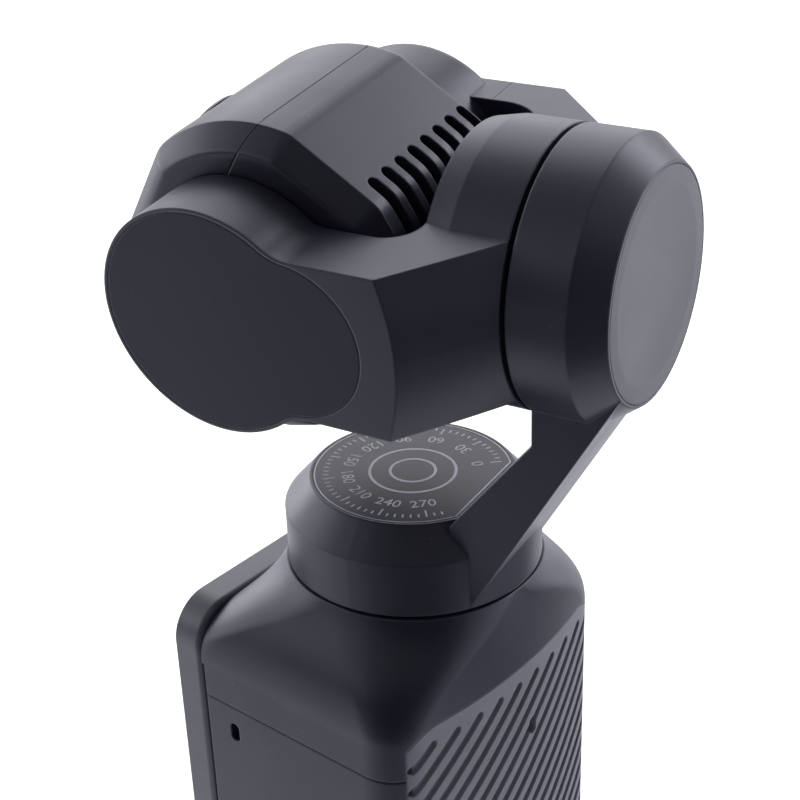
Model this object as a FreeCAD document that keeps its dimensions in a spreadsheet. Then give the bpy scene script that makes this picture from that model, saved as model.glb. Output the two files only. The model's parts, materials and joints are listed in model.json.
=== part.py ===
import FreeCAD, Part
import math
import os
import Sketcher

# Pocket gimbal camera: a hand grip with a turning screen carries three motor arms
# and a small camera head. Millimetres, +Z up along the handle, screen towards -Y,
# origin on the pan axis at the handle's bottom face.

DRIVING_SIZES = {
    # Handle section, seen from above
    "handleWidth": 33.5,
    "handleHeight": 92.0,
    "frontReach": 14.4,
    "rearReach": 12.8,
    "rearCorner": 4.6,
    "rearCrown": 57.0,
    "frontCorner": 0.4,
    "wallThick": 1.5,
    "rearWallThick": 3.0,
    "innerCorner": 2.5,
    "bottomCapThick": 3.0,
    "shoulderHeight": 14.8,
    "seamChamfer": 0.12,
    "footDrop": 11.0,
    "footNose": 18.4,
    "footRound": 4.0,
    "waistDrop": 7.6,
    "waistNose": 16.2,
    "waistInset": 0.3,
    "waistRound": 4.3,
    "waistRearRound": 6.0,
    "browDrop": 4.6,
    "browNose": 13.4,
    "browInset": 1.65,
    "browRound": 6.0,
    "browRearRound": 9.0,
    "ringFlat": 0.5,
    # Grip panel with its slanted grooves
    "gripThick": 2.4,
    "gripSeam": 0.1,
    "gripBeyond": 0.5,
    "gripTopDrop": 9.5,
    "gripBottom": 5.0,
    "gripCorner": 4.0,
    "gripFootCorner": 1.0,
    "grooveWidth": 0.95,
    "grooveDepth": 0.4,
    "groovePitch": 3.0,
    "grooveSlant": 41.5,
    "grooveMargin": 2.1,
    "grooveSideMargin": 1.0,
    # Turning screen
    "screenLength": 52.0,
    "screenThick": 3.3,
    "screenGap": 0.3,
    "screenTopDrop": 5.6,
    "screenCorner": 4.2,
    "glassMargin": 0.8,
    "glassThick": 0.8,
    "panelWidth": 27.3,
    "panelLength": 46.8,
    "panelThick": 1.2,
    "pivotRadius": 4.0,
    "pivotWall": 1.0,
    "pivotFlange": 5.2,
    "bearingWall": 1.3,
    # Control panel; its top and the light are measured from the joystick's centre
    "fasciaWidth": 29.5,
    "fasciaTop": 10.5,
    "fasciaThick": 0.6,
    "stickHeight": 25.5,
    "stickHole": 5.6,
    "stickCapRadius": 4.0,
    "stickCapThick": 1.4,
    "stickCapLift": 1.2,
    "stickTipGap": 0.45,
    "stickPivotDepth": 3.6,
    "stickStemRadius": 0.9,
    "stickRingRadius": 3.8,
    "stickRingHole": 1.9,
    "stickRingHalf": 0.8,
    "stickPinRadius": 0.4,
    "recordHeight": 12.5,
    "recordRadius": 4.3,
    "recordLift": 1.1,
    "recordTravel": 0.5,
    "recordPlay": 0.2,
    "ledRadius": 0.5,
    "ledHeight": 7.7,
    # Inside the handle
    "boardThick": 0.8,
    "boardWidth": 26.0,
    "boardLength": 61.0,
    "boardDepth": 7.4,
    "batteryWidth": 25.0,
    "batteryLength": 55.0,
    "batteryLift": 3.0,
    "speakerLength": 5.2,
    "speakerDepth": 3.6,
    "speakerHeight": 7.0,
    "slitCount": 3,
    "slitPitch": 1.56,
    "slitRadius": 0.5,
    "slitHalfRun": 1.75,
    "micRadius": 1.6,
    "micThick": 1.0,
    "micHole": 0.6,
    "micDrop": 17.9,
    "micDepth": 3.9,
    "gripMicSide": 2.2,
    "usbWidth": 8.94,
    "usbHeight": 3.2,
    "usbDepth": 6.4,
    "usbWall": 0.3,
    "usbCorner": 1.45,
    "usbRecess": 0.3,
    "cardSlotLength": 11.6,
    "cardSlotWidth": 1.1,
    "screwRadius": 0.8,
    "screwHeadRadius": 1.4,
    "screwLength": 6.0,
    "screwSpacing": 25.4,
    "bossHalf": 1.8,
    "bossHeight": 6.0,
    # Pan arm
    "panGap": 0.3,
    "panRadius": 12.56,
    "panWallHeight": 5.5,
    "panDeckHeight": 8.4,
    "labelRadius": 9.72,
    "labelThick": 0.5,
    "strutWidth": 15.0,
    "strutFrontFoot": 8.05,
    "strutRearFoot": 10.05,
    "strutLean": 29.7,
    "strutKneeHeight": 18.8,
    "rollAxisHeight": 32.48,
    # Roll motor housing
    "rollRadius": 12.56,
    "rollFront": 16.26,
    "rollChamferStart": 21.6,
    "rollRear": 24.33,
    "capRadius": 10.2,
    "capThick": 0.9,
    "capDish": 0.25,
    "capFlat": 0.5,
    # Motors
    "motorWall": 1.0,
    "rotorWall": 0.8,
    "motorGap": 0.3,
    "shaftRadius": 1.5,
    "bearingRadius": 3.0,
    "panMotorDepth": 9.0,
    "panBore": 9.0,
    "rollMotorWall": 3.0,
    "tiltMotorWall": 1.7,
    # Yoke
    "rollGap": 0.5,
    "yokeHubShoulder": 10.4,
    "yokeHubFront": 7.96,
    "yokeHubNose": 12.06,
    "yokeFlare": 49.8,
    "farCornerStart": 7.0,
    "farCornerEnd": 13.4,
    "farCornerSide": 13.1,
    "farInnerRound": 5.0,
    "nearInnerRound": 3.0,
    "neckRound": 4.0,
    "armHalfHeight": 7.54,
    "armOuter": 19.43,
    "nearArmInner": 13.1,
    "nearHubInner": 12.85,
    "farArmInner": 15.0,
    "farHubInner": 8.7,
    "farSeam": 1.7,
    "tiltAxisForward": 8.29,
    "tiltHubRadius": 10.68,
    "drumEdgeRound": 1.5,
    "nearBearingRadius": 4.0,
    "coverThick": 0.8,
    "coverInset": 0.35,
    "coverTailForward": 0.6,
    "coverTailRadius": 7.3,
    "coverNeckRadius": 5.0,
    # Camera head
    "headGap": 0.3,
    "headNearGap": 0.3,
    "headFront": 13.7,
    "headFlat": 4.6,
    "headTop": 14.65,
    "headTopFront": 3.35,
    "headRearTop": 14.2,
    "headRearEdge": 6.3,
    "headBevelBack": 8.8,
    "headBevelTop": 12.8,
    "headRear": 11.9,
    "headRearFlat": 9.6,
    "headSeam": 6.16,
    "headRound": 15.5,
    "headKinkRound": 3.5,
    "headEndRound": 1.2,
    "headNearRound": 2.6,
    "finOffset": 1.2,
    "finCount": 8,
    "finPitch": 2.22,
    "finWidth": 1.3,
    "finDepth": 1.5,
    "finStart": 3.8,
    "finEnd": 1.0,
    "lensRingRadius": 5.9,
    "lensRingWall": 1.0,
    "lensRingDepth": 3.0,
    "barrelRadius": 4.8,
    "barrelWall": 0.7,
    "barrelLength": 13.0,
    "frontLensThick": 1.6,
    "rearLensThick": 2.2,
    "sensorWidth": 15.0,
    "sensorThick": 1.0,
    # Pose of the photographed object
    "panRest": 9.4,
    "rollRest": 6.2,
    "tiltRest": 31.3,
    # Running and assembly clearances
    "runFit": 0.05,
    "fitGap": 0.05,
}

doc = FreeCAD.newDocument("PocketGimbalCamera")


class Size:
    """A size known both as a number and as the sheet expression that gives it."""

    def __init__(self, value, text):
        self.value = float(value)
        self.text = text

    @staticmethod
    def of(other):
        if isinstance(other, Size):
            return other
        return Size(other, repr(other))

    def join(self, other, sign, value):
        return Size(value, f"({self.text} {sign} {other.text})")

    def __add__(self, other):
        other = Size.of(other)
        return self.join(other, "+", self.value + other.value)

    def __sub__(self, other):
        other = Size.of(other)
        return self.join(other, "-", self.value - other.value)

    def __rsub__(self, other):
        return Size.of(other) - self

    def __mul__(self, other):
        other = Size.of(other)
        return self.join(other, "*", self.value * other.value)

    def __truediv__(self, other):
        other = Size.of(other)
        return self.join(other, "/", self.value / other.value)

    def __neg__(self):
        return Size(-self.value, f"(0 - {self.text})")


def make_sheet():
    """Fill the sheet of driving sizes, one named cell each."""
    sheet = doc.addObject("Spreadsheet::Sheet", "Sizes")
    for row, (name, value) in enumerate(DRIVING_SIZES.items(), start=1):
        sheet.set(f"A{row}", name)
        sheet.set(f"B{row}", str(value))
        sheet.setAlias(f"B{row}", name)
    doc.recompute()
    return sheet


sheet = make_sheet()


class Sizes:
    """The sheet's sizes by name."""

    def __getattr__(self, name):
        return Size(getattr(sheet, name), f"Sizes.{name}")


s = Sizes()


def sine(angle):
    return Size(math.sin(math.radians(angle.value)), f"sin({angle.text})")


def tangent(angle):
    return Size(math.tan(math.radians(angle.value)), f"tan({angle.text})")


def root(size):
    return Size(math.sqrt(size.value), f"sqrt({size.text})")


ZERO = Size(0, "0")

# A slot's end arc is a little wider than half the slot, so that it stays under a half circle
ROUND_END = 1.03


# Helpers that draw sketches

def bind(thing, path, size):
    """Tie one property of an object to a size."""
    thing.setExpression(path, size.text)


def add_sketch(body, name, role, offset=ZERO):
    """A sketch on one of the body's own origin planes, moved along its normal."""
    sketch = body.newObject("Sketcher::SketchObject", name)
    plane = [item for item in body.Origin.OriginFeatures if item.Role == role][0]
    sketch.AttachmentSupport = [(plane, "")]
    sketch.MapMode = "FlatFace"
    sketch.AttachmentOffset = FreeCAD.Placement(FreeCAD.Vector(0, 0, offset.value), FreeCAD.Rotation())
    bind(sketch, "AttachmentOffset.Base.z", offset)
    return sketch


def fix(sketch, kind, geometry, point, size):
    """Hold one coordinate of a point, or a radius, to a size."""
    if kind == "Radius":
        constraint = Sketcher.Constraint(kind, geometry, size.value)
    else:
        constraint = Sketcher.Constraint(kind, -1, 1, geometry, point, size.value)
    index = sketch.addConstraint(constraint)
    bind(sketch, f"Constraints[{index}]", size)


def add_circle(sketch, x, y, radius):
    x = Size.of(x)
    y = Size.of(y)
    centre = FreeCAD.Vector(x.value, y.value, 0)
    normal = FreeCAD.Vector(0, 0, 1)
    index = sketch.addGeometry(Part.Circle(centre, normal, radius.value), False)
    fix(sketch, "DistanceX", index, 3, x)
    fix(sketch, "DistanceY", index, 3, y)
    fix(sketch, "Radius", index, 0, radius)


def arc_between(start, end, radius, bulge):
    """The short arc from start to end, bulging to the right of the chord when bulge is 1."""
    chord = end - start
    side = FreeCAD.Vector(chord.y, -chord.x, 0).normalize() * bulge
    half = chord.Length / 2
    sagitta_centre = math.sqrt(max(radius * radius - half * half, 0))
    centre = (start + end) / 2 - side * sagitta_centre
    first = math.atan2(start.y - centre.y, start.x - centre.x)
    last = math.atan2(end.y - centre.y, end.x - centre.x)
    circle = Part.Circle(centre, FreeCAD.Vector(0, 0, 1), radius)
    if bulge > 0:
        return Part.ArcOfCircle(circle, first, last), (1, 2)
    return Part.ArcOfCircle(circle, last, first), (2, 1)


def add_outline(sketch, points):
    """A closed outline. Each point is (x, y), or (x, y, radius) when an arc leaves it:
    a positive radius bulges to the right of the way on, a negative one to the left."""
    points = [[Size.of(part) for part in point] for point in points]
    edges = []
    for index, point in enumerate(points):
        following = points[(index + 1) % len(points)]
        start = FreeCAD.Vector(point[0].value, point[1].value, 0)
        end = FreeCAD.Vector(following[0].value, following[1].value, 0)
        if len(point) == 3:
            bulge = 1 if point[2].value > 0 else -1
            shape, ends = arc_between(start, end, abs(point[2].value), bulge)
            edges.append((sketch.addGeometry(shape, False), ends))
        else:
            edges.append((sketch.addGeometry(Part.LineSegment(start, end), False), (1, 2)))
    for index, (edge, ends) in enumerate(edges):
        next_edge, next_ends = edges[(index + 1) % len(edges)]
        sketch.addConstraint(Sketcher.Constraint("Coincident", edge, ends[1], next_edge, next_ends[0]))
    for point, (edge, ends) in zip(points, edges):
        fix(sketch, "DistanceX", edge, ends[0], point[0])
        fix(sketch, "DistanceY", edge, ends[0], point[1])
        if len(point) == 3:
            radius = point[2] if point[2].value > 0 else -point[2]
            fix(sketch, "Radius", edge, 0, radius)


def rounded_rectangle(left, right, bottom, top, low_round, high_round):
    """Points of a rectangle with one radius at its lower and one at its upper corners."""
    return [
        (left + low_round, bottom),
        (right - low_round, bottom, low_round),
        (right, bottom + low_round),
        (right, top - high_round, high_round),
        (right - high_round, top),
        (left + high_round, top, high_round),
        (left, top - high_round),
        (left, bottom + low_round, low_round),
    ]


def rectangle(left, right, bottom, top):
    return [(left, bottom), (right, bottom), (right, top), (left, top)]


# Helpers that make features

def add_body(name):
    body = doc.addObject("PartDesign::Body", name)
    body.Label = name
    return body


def add_feature(body, kind, sketch, name):
    feature = body.newObject(f"PartDesign::{kind}", name)
    feature.Profile = sketch
    return feature


def pad(body, sketch, length, backwards=False, symmetric=False):
    feature = add_feature(body, "Pad", sketch, sketch.Name + "Pad")
    feature.Reversed = backwards
    if symmetric:
        feature.SideType = "Symmetric"
    bind(feature, "Length", length)
    return feature


def pocket(body, sketch, length, backwards=False, symmetric=False):
    """Cut away the sketch; the volume must fall, or the cut pointed the wrong way."""
    doc.recompute()
    before = body.Shape.Volume
    feature = add_feature(body, "Pocket", sketch, sketch.Name + "Pocket")
    feature.Reversed = backwards
    if symmetric:
        feature.SideType = "Symmetric"
    bind(feature, "Length", length)
    doc.recompute()
    if body.Shape.Volume > before - 1e-4:
        raise RuntimeError(feature.Name + " cut nothing")
    return feature


def turn(body, sketch, axis, cut=False):
    """Revolve a sketch about one of its own axes, to add or to cut."""
    kind = "Groove" if cut else "Revolution"
    if cut:
        doc.recompute()
        before = body.Shape.Volume
    feature = add_feature(body, kind, sketch, sketch.Name + kind)
    feature.ReferenceAxis = (sketch, [axis])
    feature.Angle = 360
    if cut:
        doc.recompute()
        if body.Shape.Volume > before - 1e-4:
            raise RuntimeError(feature.Name + " cut nothing")
    return feature


def edges_where(feature, test):
    """Names of the feature's edges whose middle point passes a test."""
    names = []
    for index, edge in enumerate(feature.Shape.Edges, start=1):
        middle = edge.valueAt((edge.FirstParameter + edge.LastParameter) / 2)
        if test(middle, edge):
            names.append(f"Edge{index}")
    return names


def dress(body, kind, test, size, name):
    """Fillet or chamfer the edges of the body that pass a test."""
    doc.recompute()
    base = body.Tip
    names = edges_where(base, test)
    if not names:
        raise RuntimeError(name + " found no edge")
    feature = body.newObject(f"PartDesign::{kind}", name)
    feature.Base = (base, names)
    bind(feature, "Radius" if kind == "Fillet" else "Size", size)
    return feature


def pattern_along(body, features, sketch, axis, count, pitch, name):
    """Repeat features in a row along a sketch axis."""
    feature = body.newObject("PartDesign::LinearPattern", name)
    feature.Originals = features
    feature.Direction = (sketch, [axis])
    feature.Mode = "Spacing"
    bind(feature, "Offset", pitch)
    feature.Occurrences = int(round(count.value))
    bind(feature, "Occurrences", count)
    body.Tip = feature
    return feature


def near(value, target, slack=0.01):
    return abs(value - target) < slack


# Frames of the moving groups at rest

handleTop = s.handleHeight
rollAxisZ = s.handleHeight + s.rollAxisHeight


def rotation(axis, angle):
    return FreeCAD.Placement(FreeCAD.Vector(), FreeCAD.Rotation(axis, angle))


X_AXIS = FreeCAD.Vector(1, 0, 0)
Y_AXIS = FreeCAD.Vector(0, 1, 0)
Z_AXIS = FreeCAD.Vector(0, 0, 1)


def shift(x, y, z):
    return FreeCAD.Placement(FreeCAD.Vector(x, y, z), FreeCAD.Rotation())


PAN_FRAME = shift(0, 0, rollAxisZ.value) * rotation(Z_AXIS, s.panRest.value)
ROLL_FRAME = PAN_FRAME * rotation(Y_AXIS, s.rollRest.value)
TILT_FRAME = ROLL_FRAME * shift(0, -s.tiltAxisForward.value, 0) * rotation(X_AXIS, -s.tiltRest.value)


# Shared places worked out from the sizes

halfWidth = s.handleWidth / 2
bodyFront = -s.frontReach
innerFront = s.wallThick - s.frontReach
innerRear = s.rearReach - s.rearWallThick
innerSide = halfWidth - s.wallThick
seamZ = handleTop - s.shoulderHeight
shoulderTop = handleTop - s.panGap
shoulderFoot = handleTop - s.footDrop
gripTop = handleTop - s.gripTopDrop
gripFloor = s.rearReach - s.gripThick
behindRear = s.rearReach + s.wallThick
screenTop = handleTop - s.screenTopDrop
screenCentre = screenTop - s.screenLength / 2
screenBack = bodyFront - s.screenGap
screenFront = screenBack - s.screenThick
fasciaSide = s.fasciaWidth / 2
boardFront = bodyFront + s.boardDepth
boardBack = boardFront + s.boardThick
pivotEnd = innerFront + s.bearingWall + s.screenGap
micY = bodyFront + s.micDepth
gripMicX = -s.gripMicSide
cardY = boardBack + s.cardSlotWidth
cardZ = s.handleHeight / 2
speakerY = innerRear - s.innerCorner - s.speakerLength / 2
speakerZ = s.bottomCapThick + s.wallThick + s.speakerHeight / 2
usbY = boardBack + s.usbHeight / 2
usbTop = s.usbRecess + s.usbDepth
stickPivotY = bodyFront + s.stickPivotDepth
fasciaEnd = s.stickHeight + s.fasciaTop
ledZ = s.stickHeight + s.ledHeight


class RearCorner:
    """The arc that joins a section's straight side to its crowned rear, tangent to both."""

    def __init__(self, side, rear, radius):
        inner = s.rearCrown - radius
        self.x = side - radius
        self.base = rear - s.rearCrown
        rise = root(inner * inner - self.x * self.x)
        self.y = self.base + rise
        self.touch_x = self.x * s.rearCrown / inner
        self.touch_y = self.base + rise * s.rearCrown / inner


def crowned_section(side, nose, rear, front_round, rear_round):
    """A section seen from above: flat front, straight sides and a crowned rear."""
    corner = RearCorner(side, rear, rear_round)
    return [
        (front_round - side, -nose), (side - front_round, -nose, front_round), (side, front_round - nose),
        (side, corner.y, rear_round), (corner.touch_x, corner.touch_y, s.rearCrown),
        (-corner.touch_x, corner.touch_y, rear_round), (-side, corner.y),
        (-side, front_round - nose, front_round),
    ]


def handle_section():
    return crowned_section(halfWidth, s.frontReach, s.rearReach, s.frontCorner, s.rearCorner)


rearCorner = RearCorner(halfWidth, s.rearReach, s.rearCorner)


def grip_edge(depth):
    """Half the width of the grip panel where its rounded side meets the recess floor."""
    radius = s.rearCorner - depth
    drop = gripFloor - rearCorner.y
    return rearCorner.x + root(radius * radius - drop * drop)


gripSide = grip_edge(ZERO) + s.gripBeyond


# Handle

def make_handle_shell():
    body = add_body("handle_shell")
    outer = add_sketch(body, "ShellOuter", "XY_Plane", s.bottomCapThick)
    add_outline(outer, handle_section())
    pad(body, outer, seamZ - s.bottomCapThick)
    dress(body, "Chamfer", lambda p, e: near(p.z, seamZ.value), s.seamChamfer, "ShellSeamEdge")
    inner = add_sketch(body, "ShellInner", "XY_Plane", seamZ)
    add_outline(inner, [
        (-innerSide, innerFront), (innerSide, innerFront), (innerSide, innerRear - s.innerCorner),
        (innerSide - s.innerCorner, innerRear), (s.innerCorner - innerSide, innerRear),
        (-innerSide, innerRear - s.innerCorner),
    ])
    pocket(body, inner, s.handleHeight)
    boss = add_sketch(body, "ScrewBosses", "XY_Plane", s.bottomCapThick)
    for side in (-1, 1):
        edge = innerSide * side
        centre = s.screwSpacing * side / 2
        reach = centre - s.bossHalf * side
        low, high = (edge, reach) if side < 0 else (reach, edge)
        add_outline(boss, rectangle(low, high, -s.bossHalf, s.bossHalf))
    pad(body, boss, s.bossHeight)
    doc.recompute()
    thread = add_sketch(body, "ScrewHoles", "XY_Plane", s.bottomCapThick)
    for side in (-1, 1):
        add_circle(thread, s.screwSpacing * side / 2, 0, s.screwRadius + s.fitGap)
    pocket(body, thread, s.screwLength - s.bottomCapThick + s.wallThick, backwards=True)
    cut_grip_recess(body, "ShellGripRecess")
    panel = add_sketch(body, "FasciaRecess", "XZ_Plane", s.frontReach)
    add_outline(panel, rectangle(-fasciaSide, fasciaSide, ZERO, fasciaEnd))
    pocket(body, panel, s.fasciaThick)
    holes = add_sketch(body, "FrontHoles", "XZ_Plane", s.frontReach)
    add_circle(holes, 0, screenCentre, s.pivotRadius + s.bearingWall + s.fitGap)
    add_circle(holes, 0, s.stickHeight, s.stickHole)
    add_circle(holes, 0, s.recordHeight, s.recordRadius + s.motorGap)
    add_circle(holes, 0, ledZ, s.ledRadius + s.fitGap)
    pocket(body, holes, s.wallThick)
    side_hole = add_sketch(body, "SideMicHoles", "YZ_Plane", -halfWidth)
    add_outline(side_hole, slot_upright(micY, handleTop - s.micDrop, s.micHole, s.micHole))
    pocket(body, side_hole, s.handleWidth, backwards=True)
    rear_hole = add_sketch(body, "RearMicHole", "XZ_Plane", -behindRear)
    add_outline(rear_hole, slot_upright(gripMicX, handleTop - s.micDrop, s.micHole, s.micHole))
    pocket(body, rear_hole, s.gripThick + s.rearWallThick, backwards=True)
    card = add_sketch(body, "CardSlot", "YZ_Plane", -halfWidth)
    add_outline(card, rectangle(cardY - s.cardSlotWidth / 2, cardY + s.cardSlotWidth / 2,
                                cardZ - s.cardSlotLength / 2, cardZ + s.cardSlotLength / 2))
    pocket(body, card, s.wallThick, backwards=True)
    grille = add_sketch(body, "SpeakerSlot", "YZ_Plane", -halfWidth)
    first = speakerY - s.slitPitch * (s.slitCount - 1) / 2
    add_outline(grille, slot_upright(first, speakerZ, s.slitRadius, s.slitHalfRun))
    slit = pocket(body, grille, s.wallThick, backwards=True)
    pattern_along(body, [slit], grille, "H_Axis", s.slitCount, s.slitPitch, "SpeakerSlits")
    return body


def slot_upright(x, z, radius, half_run):
    """Points of an upright slot with round ends."""
    return [
        (x - radius, z - half_run, radius * ROUND_END),
        (x + radius, z - half_run),
        (x + radius, z + half_run, radius * ROUND_END),
        (x - radius, z + half_run),
    ]


def cut_grip_recess(body, name):
    """The shallow recess in the rear face that the grip panel lies in."""
    recess = add_sketch(body, name, "XZ_Plane", -behindRear)
    add_outline(recess, rounded_rectangle(-gripSide, gripSide, s.gripBottom, gripTop,
                                          s.gripFootCorner, s.gripCorner))
    pocket(body, recess, behindRear - gripFloor, backwards=True)


def make_shoulder_cover():
    """Closes the handle's top: a soft dome up to the pan disc, cut flat behind the screen."""
    body = add_body("shoulder_cover")
    lower = add_sketch(body, "ShoulderLower", "XY_Plane", seamZ)
    add_outline(lower, handle_section())
    pad(body, lower, shoulderFoot - seamZ)
    dress(body, "Chamfer", lambda p, e: near(p.z, seamZ.value), s.seamChamfer, "CoverSeamEdge")
    ring = s.panRadius
    ring_round = ring - s.ringFlat
    sections = []
    for name, drop, side, nose, rear, front_round, rear_round in (
        ("ShoulderFoot", s.footDrop, halfWidth, s.footNose, s.rearReach, s.footRound, s.rearCorner),
        ("ShoulderWaist", s.waistDrop, halfWidth - s.waistInset, s.waistNose, s.rearReach,
         s.waistRound, s.waistRearRound),
        ("ShoulderBrow", s.browDrop, halfWidth - s.browInset, s.browNose, s.rearReach - s.fitGap,
         s.browRound, s.browRearRound),
        ("ShoulderCrown", s.panGap, ring, ring, ring, ring_round, ring_round),
    ):
        sketch = add_sketch(body, name, "XY_Plane", handleTop - drop)
        add_outline(sketch, crowned_section(side, nose, rear, front_round, rear_round))
        sections.append(sketch)
    loft = add_feature(body, "AdditiveLoft", sections[0], "ShoulderLoft")
    loft.Sections = sections[1:]
    loft.Ruled = False
    doc.recompute()
    flat = add_sketch(body, "ShoulderFront", "XY_Plane", shoulderTop)
    add_outline(flat, rectangle(-s.handleWidth, s.handleWidth, -s.footNose * 2, bodyFront))
    pocket(body, flat, shoulderTop - seamZ)
    cut_grip_recess(body, "ShoulderGripRecess")
    bore = add_sketch(body, "PanMotorBore", "XY_Plane", shoulderTop)
    add_circle(bore, 0, 0, s.panBore)
    pocket(body, bore, s.panMotorDepth)
    cable = add_sketch(body, "PanCableHole", "XY_Plane", shoulderTop)
    add_circle(cable, 0, 0, s.bearingRadius - s.rotorWall)
    pocket(body, cable, s.handleHeight)
    return body


def grip_section(depth):
    """The part of the handle's section outside the recess floor, drawn in by a depth."""
    edge = grip_edge(depth)
    radius = s.rearCorner - depth
    share = radius / s.rearCorner
    touch_x = rearCorner.x + (rearCorner.touch_x - rearCorner.x) * share
    touch_y = rearCorner.y + (rearCorner.touch_y - rearCorner.y) * share
    return [
        (-edge, gripFloor), (edge, gripFloor, radius), (touch_x, touch_y, s.rearCrown - depth),
        (-touch_x, touch_y, radius),
    ]


def make_grip_panel():
    """Rubber panel that wraps the handle's rear, its grooves cut through to an inner core."""
    body = add_body("grip_panel")
    plan = add_sketch(body, "GripPlan", "XY_Plane", s.gripBottom)
    add_outline(plan, grip_section(ZERO))
    pad(body, plan, gripTop - s.gripBottom)
    add_grooves(body)
    core = add_sketch(body, "GripCore", "XY_Plane", s.gripBottom)
    add_outline(core, grip_section(s.grooveDepth))
    pad(body, core, gripTop - s.gripBottom)
    doc.recompute()
    trim = add_sketch(body, "GripTrim", "XZ_Plane", -behindRear)
    add_outline(trim, rectangle(-s.handleWidth, s.handleWidth, ZERO, handleTop))
    add_outline(trim, rounded_rectangle(-gripSide, gripSide, s.gripBottom + s.gripSeam, gripTop - s.gripSeam,
                                        s.gripFootCorner, s.gripCorner))
    pocket(body, trim, s.gripThick * 2, backwards=True)
    hole = add_sketch(body, "GripMicHole", "XZ_Plane", -behindRear)
    add_outline(hole, slot_upright(gripMicX, handleTop - s.micDrop, s.micHole, s.micHole))
    pocket(body, hole, s.gripThick * 2, backwards=True)
    return body


# Grooves drawn in one sketch, and how far the first stands from the corner, in pitches
GROOVES_TOGETHER = 6
FIRST_GROOVE = 0.8


def add_grooves(body):
    """Slanted grooves with round ends, kept a margin inside the panel's outline."""
    slope = tangent(s.grooveSlant)
    low = s.gripBottom + s.grooveMargin
    high = gripTop - s.grooveMargin
    half = gripSide - s.grooveSideMargin
    run = (high - low) / slope
    count = int((run.value + 2 * half.value) / s.groovePitch.value)
    across = sine(s.grooveSlant) * s.grooveWidth / 2
    along = sine(90 - s.grooveSlant) * s.grooveWidth / 2
    end_round = s.grooveWidth / 2 * ROUND_END
    for first in range(0, count, GROOVES_TOGETHER):
        sketch = add_sketch(body, f"Grooves{first}", "XZ_Plane", -behindRear)
        for number in range(first, min(first + GROOVES_TOGETHER, count)):
            head = half - s.groovePitch * (number + FIRST_GROOVE)
            head_z = high
            if head.value < -half.value:
                head_z = high + slope * (head + half)
                head = -half
            tail = head + (head_z - low) / slope
            tail_z = low
            if tail.value > half.value:
                tail_z = head_z - slope * (half - head)
                tail = half
            add_outline(sketch, [
                (head - across, head_z - along),
                (tail - across, tail_z - along, end_round),
                (tail + across, tail_z + along),
                (head + across, head_z + along, end_round),
            ])
        pocket(body, sketch, behindRear - gripFloor, backwards=True)


def make_front_fascia():
    body = add_body("front_fascia")
    plate = add_sketch(body, "FasciaPlate", "XZ_Plane", s.frontReach)
    add_outline(plate, rectangle(s.fitGap - fasciaSide, fasciaSide - s.fitGap,
                                 s.bottomCapThick, fasciaEnd - s.fitGap))
    pad(body, plate, s.fasciaThick, backwards=True)
    holes = add_sketch(body, "FasciaHoles", "XZ_Plane", s.frontReach)
    add_circle(holes, 0, s.stickHeight, s.stickHole)
    add_circle(holes, 0, s.recordHeight, s.recordRadius + s.motorGap)
    add_circle(holes, 0, ledZ, s.ledRadius + s.fitGap)
    pocket(body, holes, s.fasciaThick)
    return body


def usb_outline(grow):
    side = s.usbWidth / 2 + grow
    half = s.usbHeight / 2 + grow
    corner = s.usbCorner + grow
    return rounded_rectangle(-side, side, usbY - half, usbY + half, corner, corner)


def make_bottom_cap():
    body = add_body("bottom_cap")
    plate = add_sketch(body, "CapPlate", "XY_Plane")
    add_outline(plate, handle_section())
    pad(body, plate, s.bottomCapThick)
    dress(body, "Fillet", lambda p, e: near(p.z, 0), s.bottomCapThick / 3, "CapFootRound")
    port = add_sketch(body, "UsbOpening", "XY_Plane", s.bottomCapThick)
    add_outline(port, usb_outline(s.fitGap * 4))
    pocket(body, port, s.bottomCapThick)
    shanks = add_sketch(body, "CapScrewHoles", "XY_Plane", s.bottomCapThick)
    heads = add_sketch(body, "CapHeadSeats", "XY_Plane")
    for side in (-1, 1):
        add_circle(shanks, s.screwSpacing * side / 2, 0, s.screwRadius + s.fitGap)
        add_circle(heads, s.screwSpacing * side / 2, 0, s.screwHeadRadius + s.fitGap * 2)
    pocket(body, shanks, s.bottomCapThick)
    pocket(body, heads, s.bottomCapThick / 2, backwards=True)
    return body


def make_base_screws():
    """Two screws that hold the bottom cap, heads sunk in their seats."""
    bodies = []
    for side in (-1, 1):
        screw = add_body(f"BaseScrew{side + 1}")
        profile = add_sketch(screw, f"ScrewProfile{side + 1}", "XZ_Plane")
        seat = s.bottomCapThick / 2
        top = s.screwLength
        add_outline(profile, [
            (ZERO, seat / 3), (s.screwHeadRadius, seat / 3), (s.screwHeadRadius, seat),
            (s.screwRadius, seat), (s.screwRadius, top), (ZERO, top),
        ])
        turn(screw, profile, "V_Axis")
        screw.Placement = shift((s.screwSpacing * side / 2).value, 0, 0)
        bind(screw, "Placement.Base.x", s.screwSpacing * side / 2)
        bodies.append(screw)
    group = doc.addObject("Part::Compound", "base_screws")
    group.Links = bodies
    return group


def make_usb_shell():
    body = add_body("usb_c_shell")
    outer = add_sketch(body, "UsbOuter", "XY_Plane", s.usbRecess)
    add_outline(outer, usb_outline(ZERO))
    pad(body, outer, s.usbDepth)
    inner = add_sketch(body, "UsbInner", "XY_Plane", usbTop - s.rotorWall)
    add_outline(inner, usb_outline(-s.usbWall))
    pocket(body, inner, s.usbDepth)
    return body


def make_block(name, x, y, z):
    """A plain block from three (low, high) pairs."""
    block = doc.addObject("Part::Box", name)
    for property_name, (low, high) in (("Length", x), ("Width", y), ("Height", z)):
        bind(block, property_name, Size.of(high) - low)
    for axis, (low, high) in (("x", x), ("y", y), ("z", z)):
        bind(block, f"Placement.Base.{axis}", Size.of(low))
    return block


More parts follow.
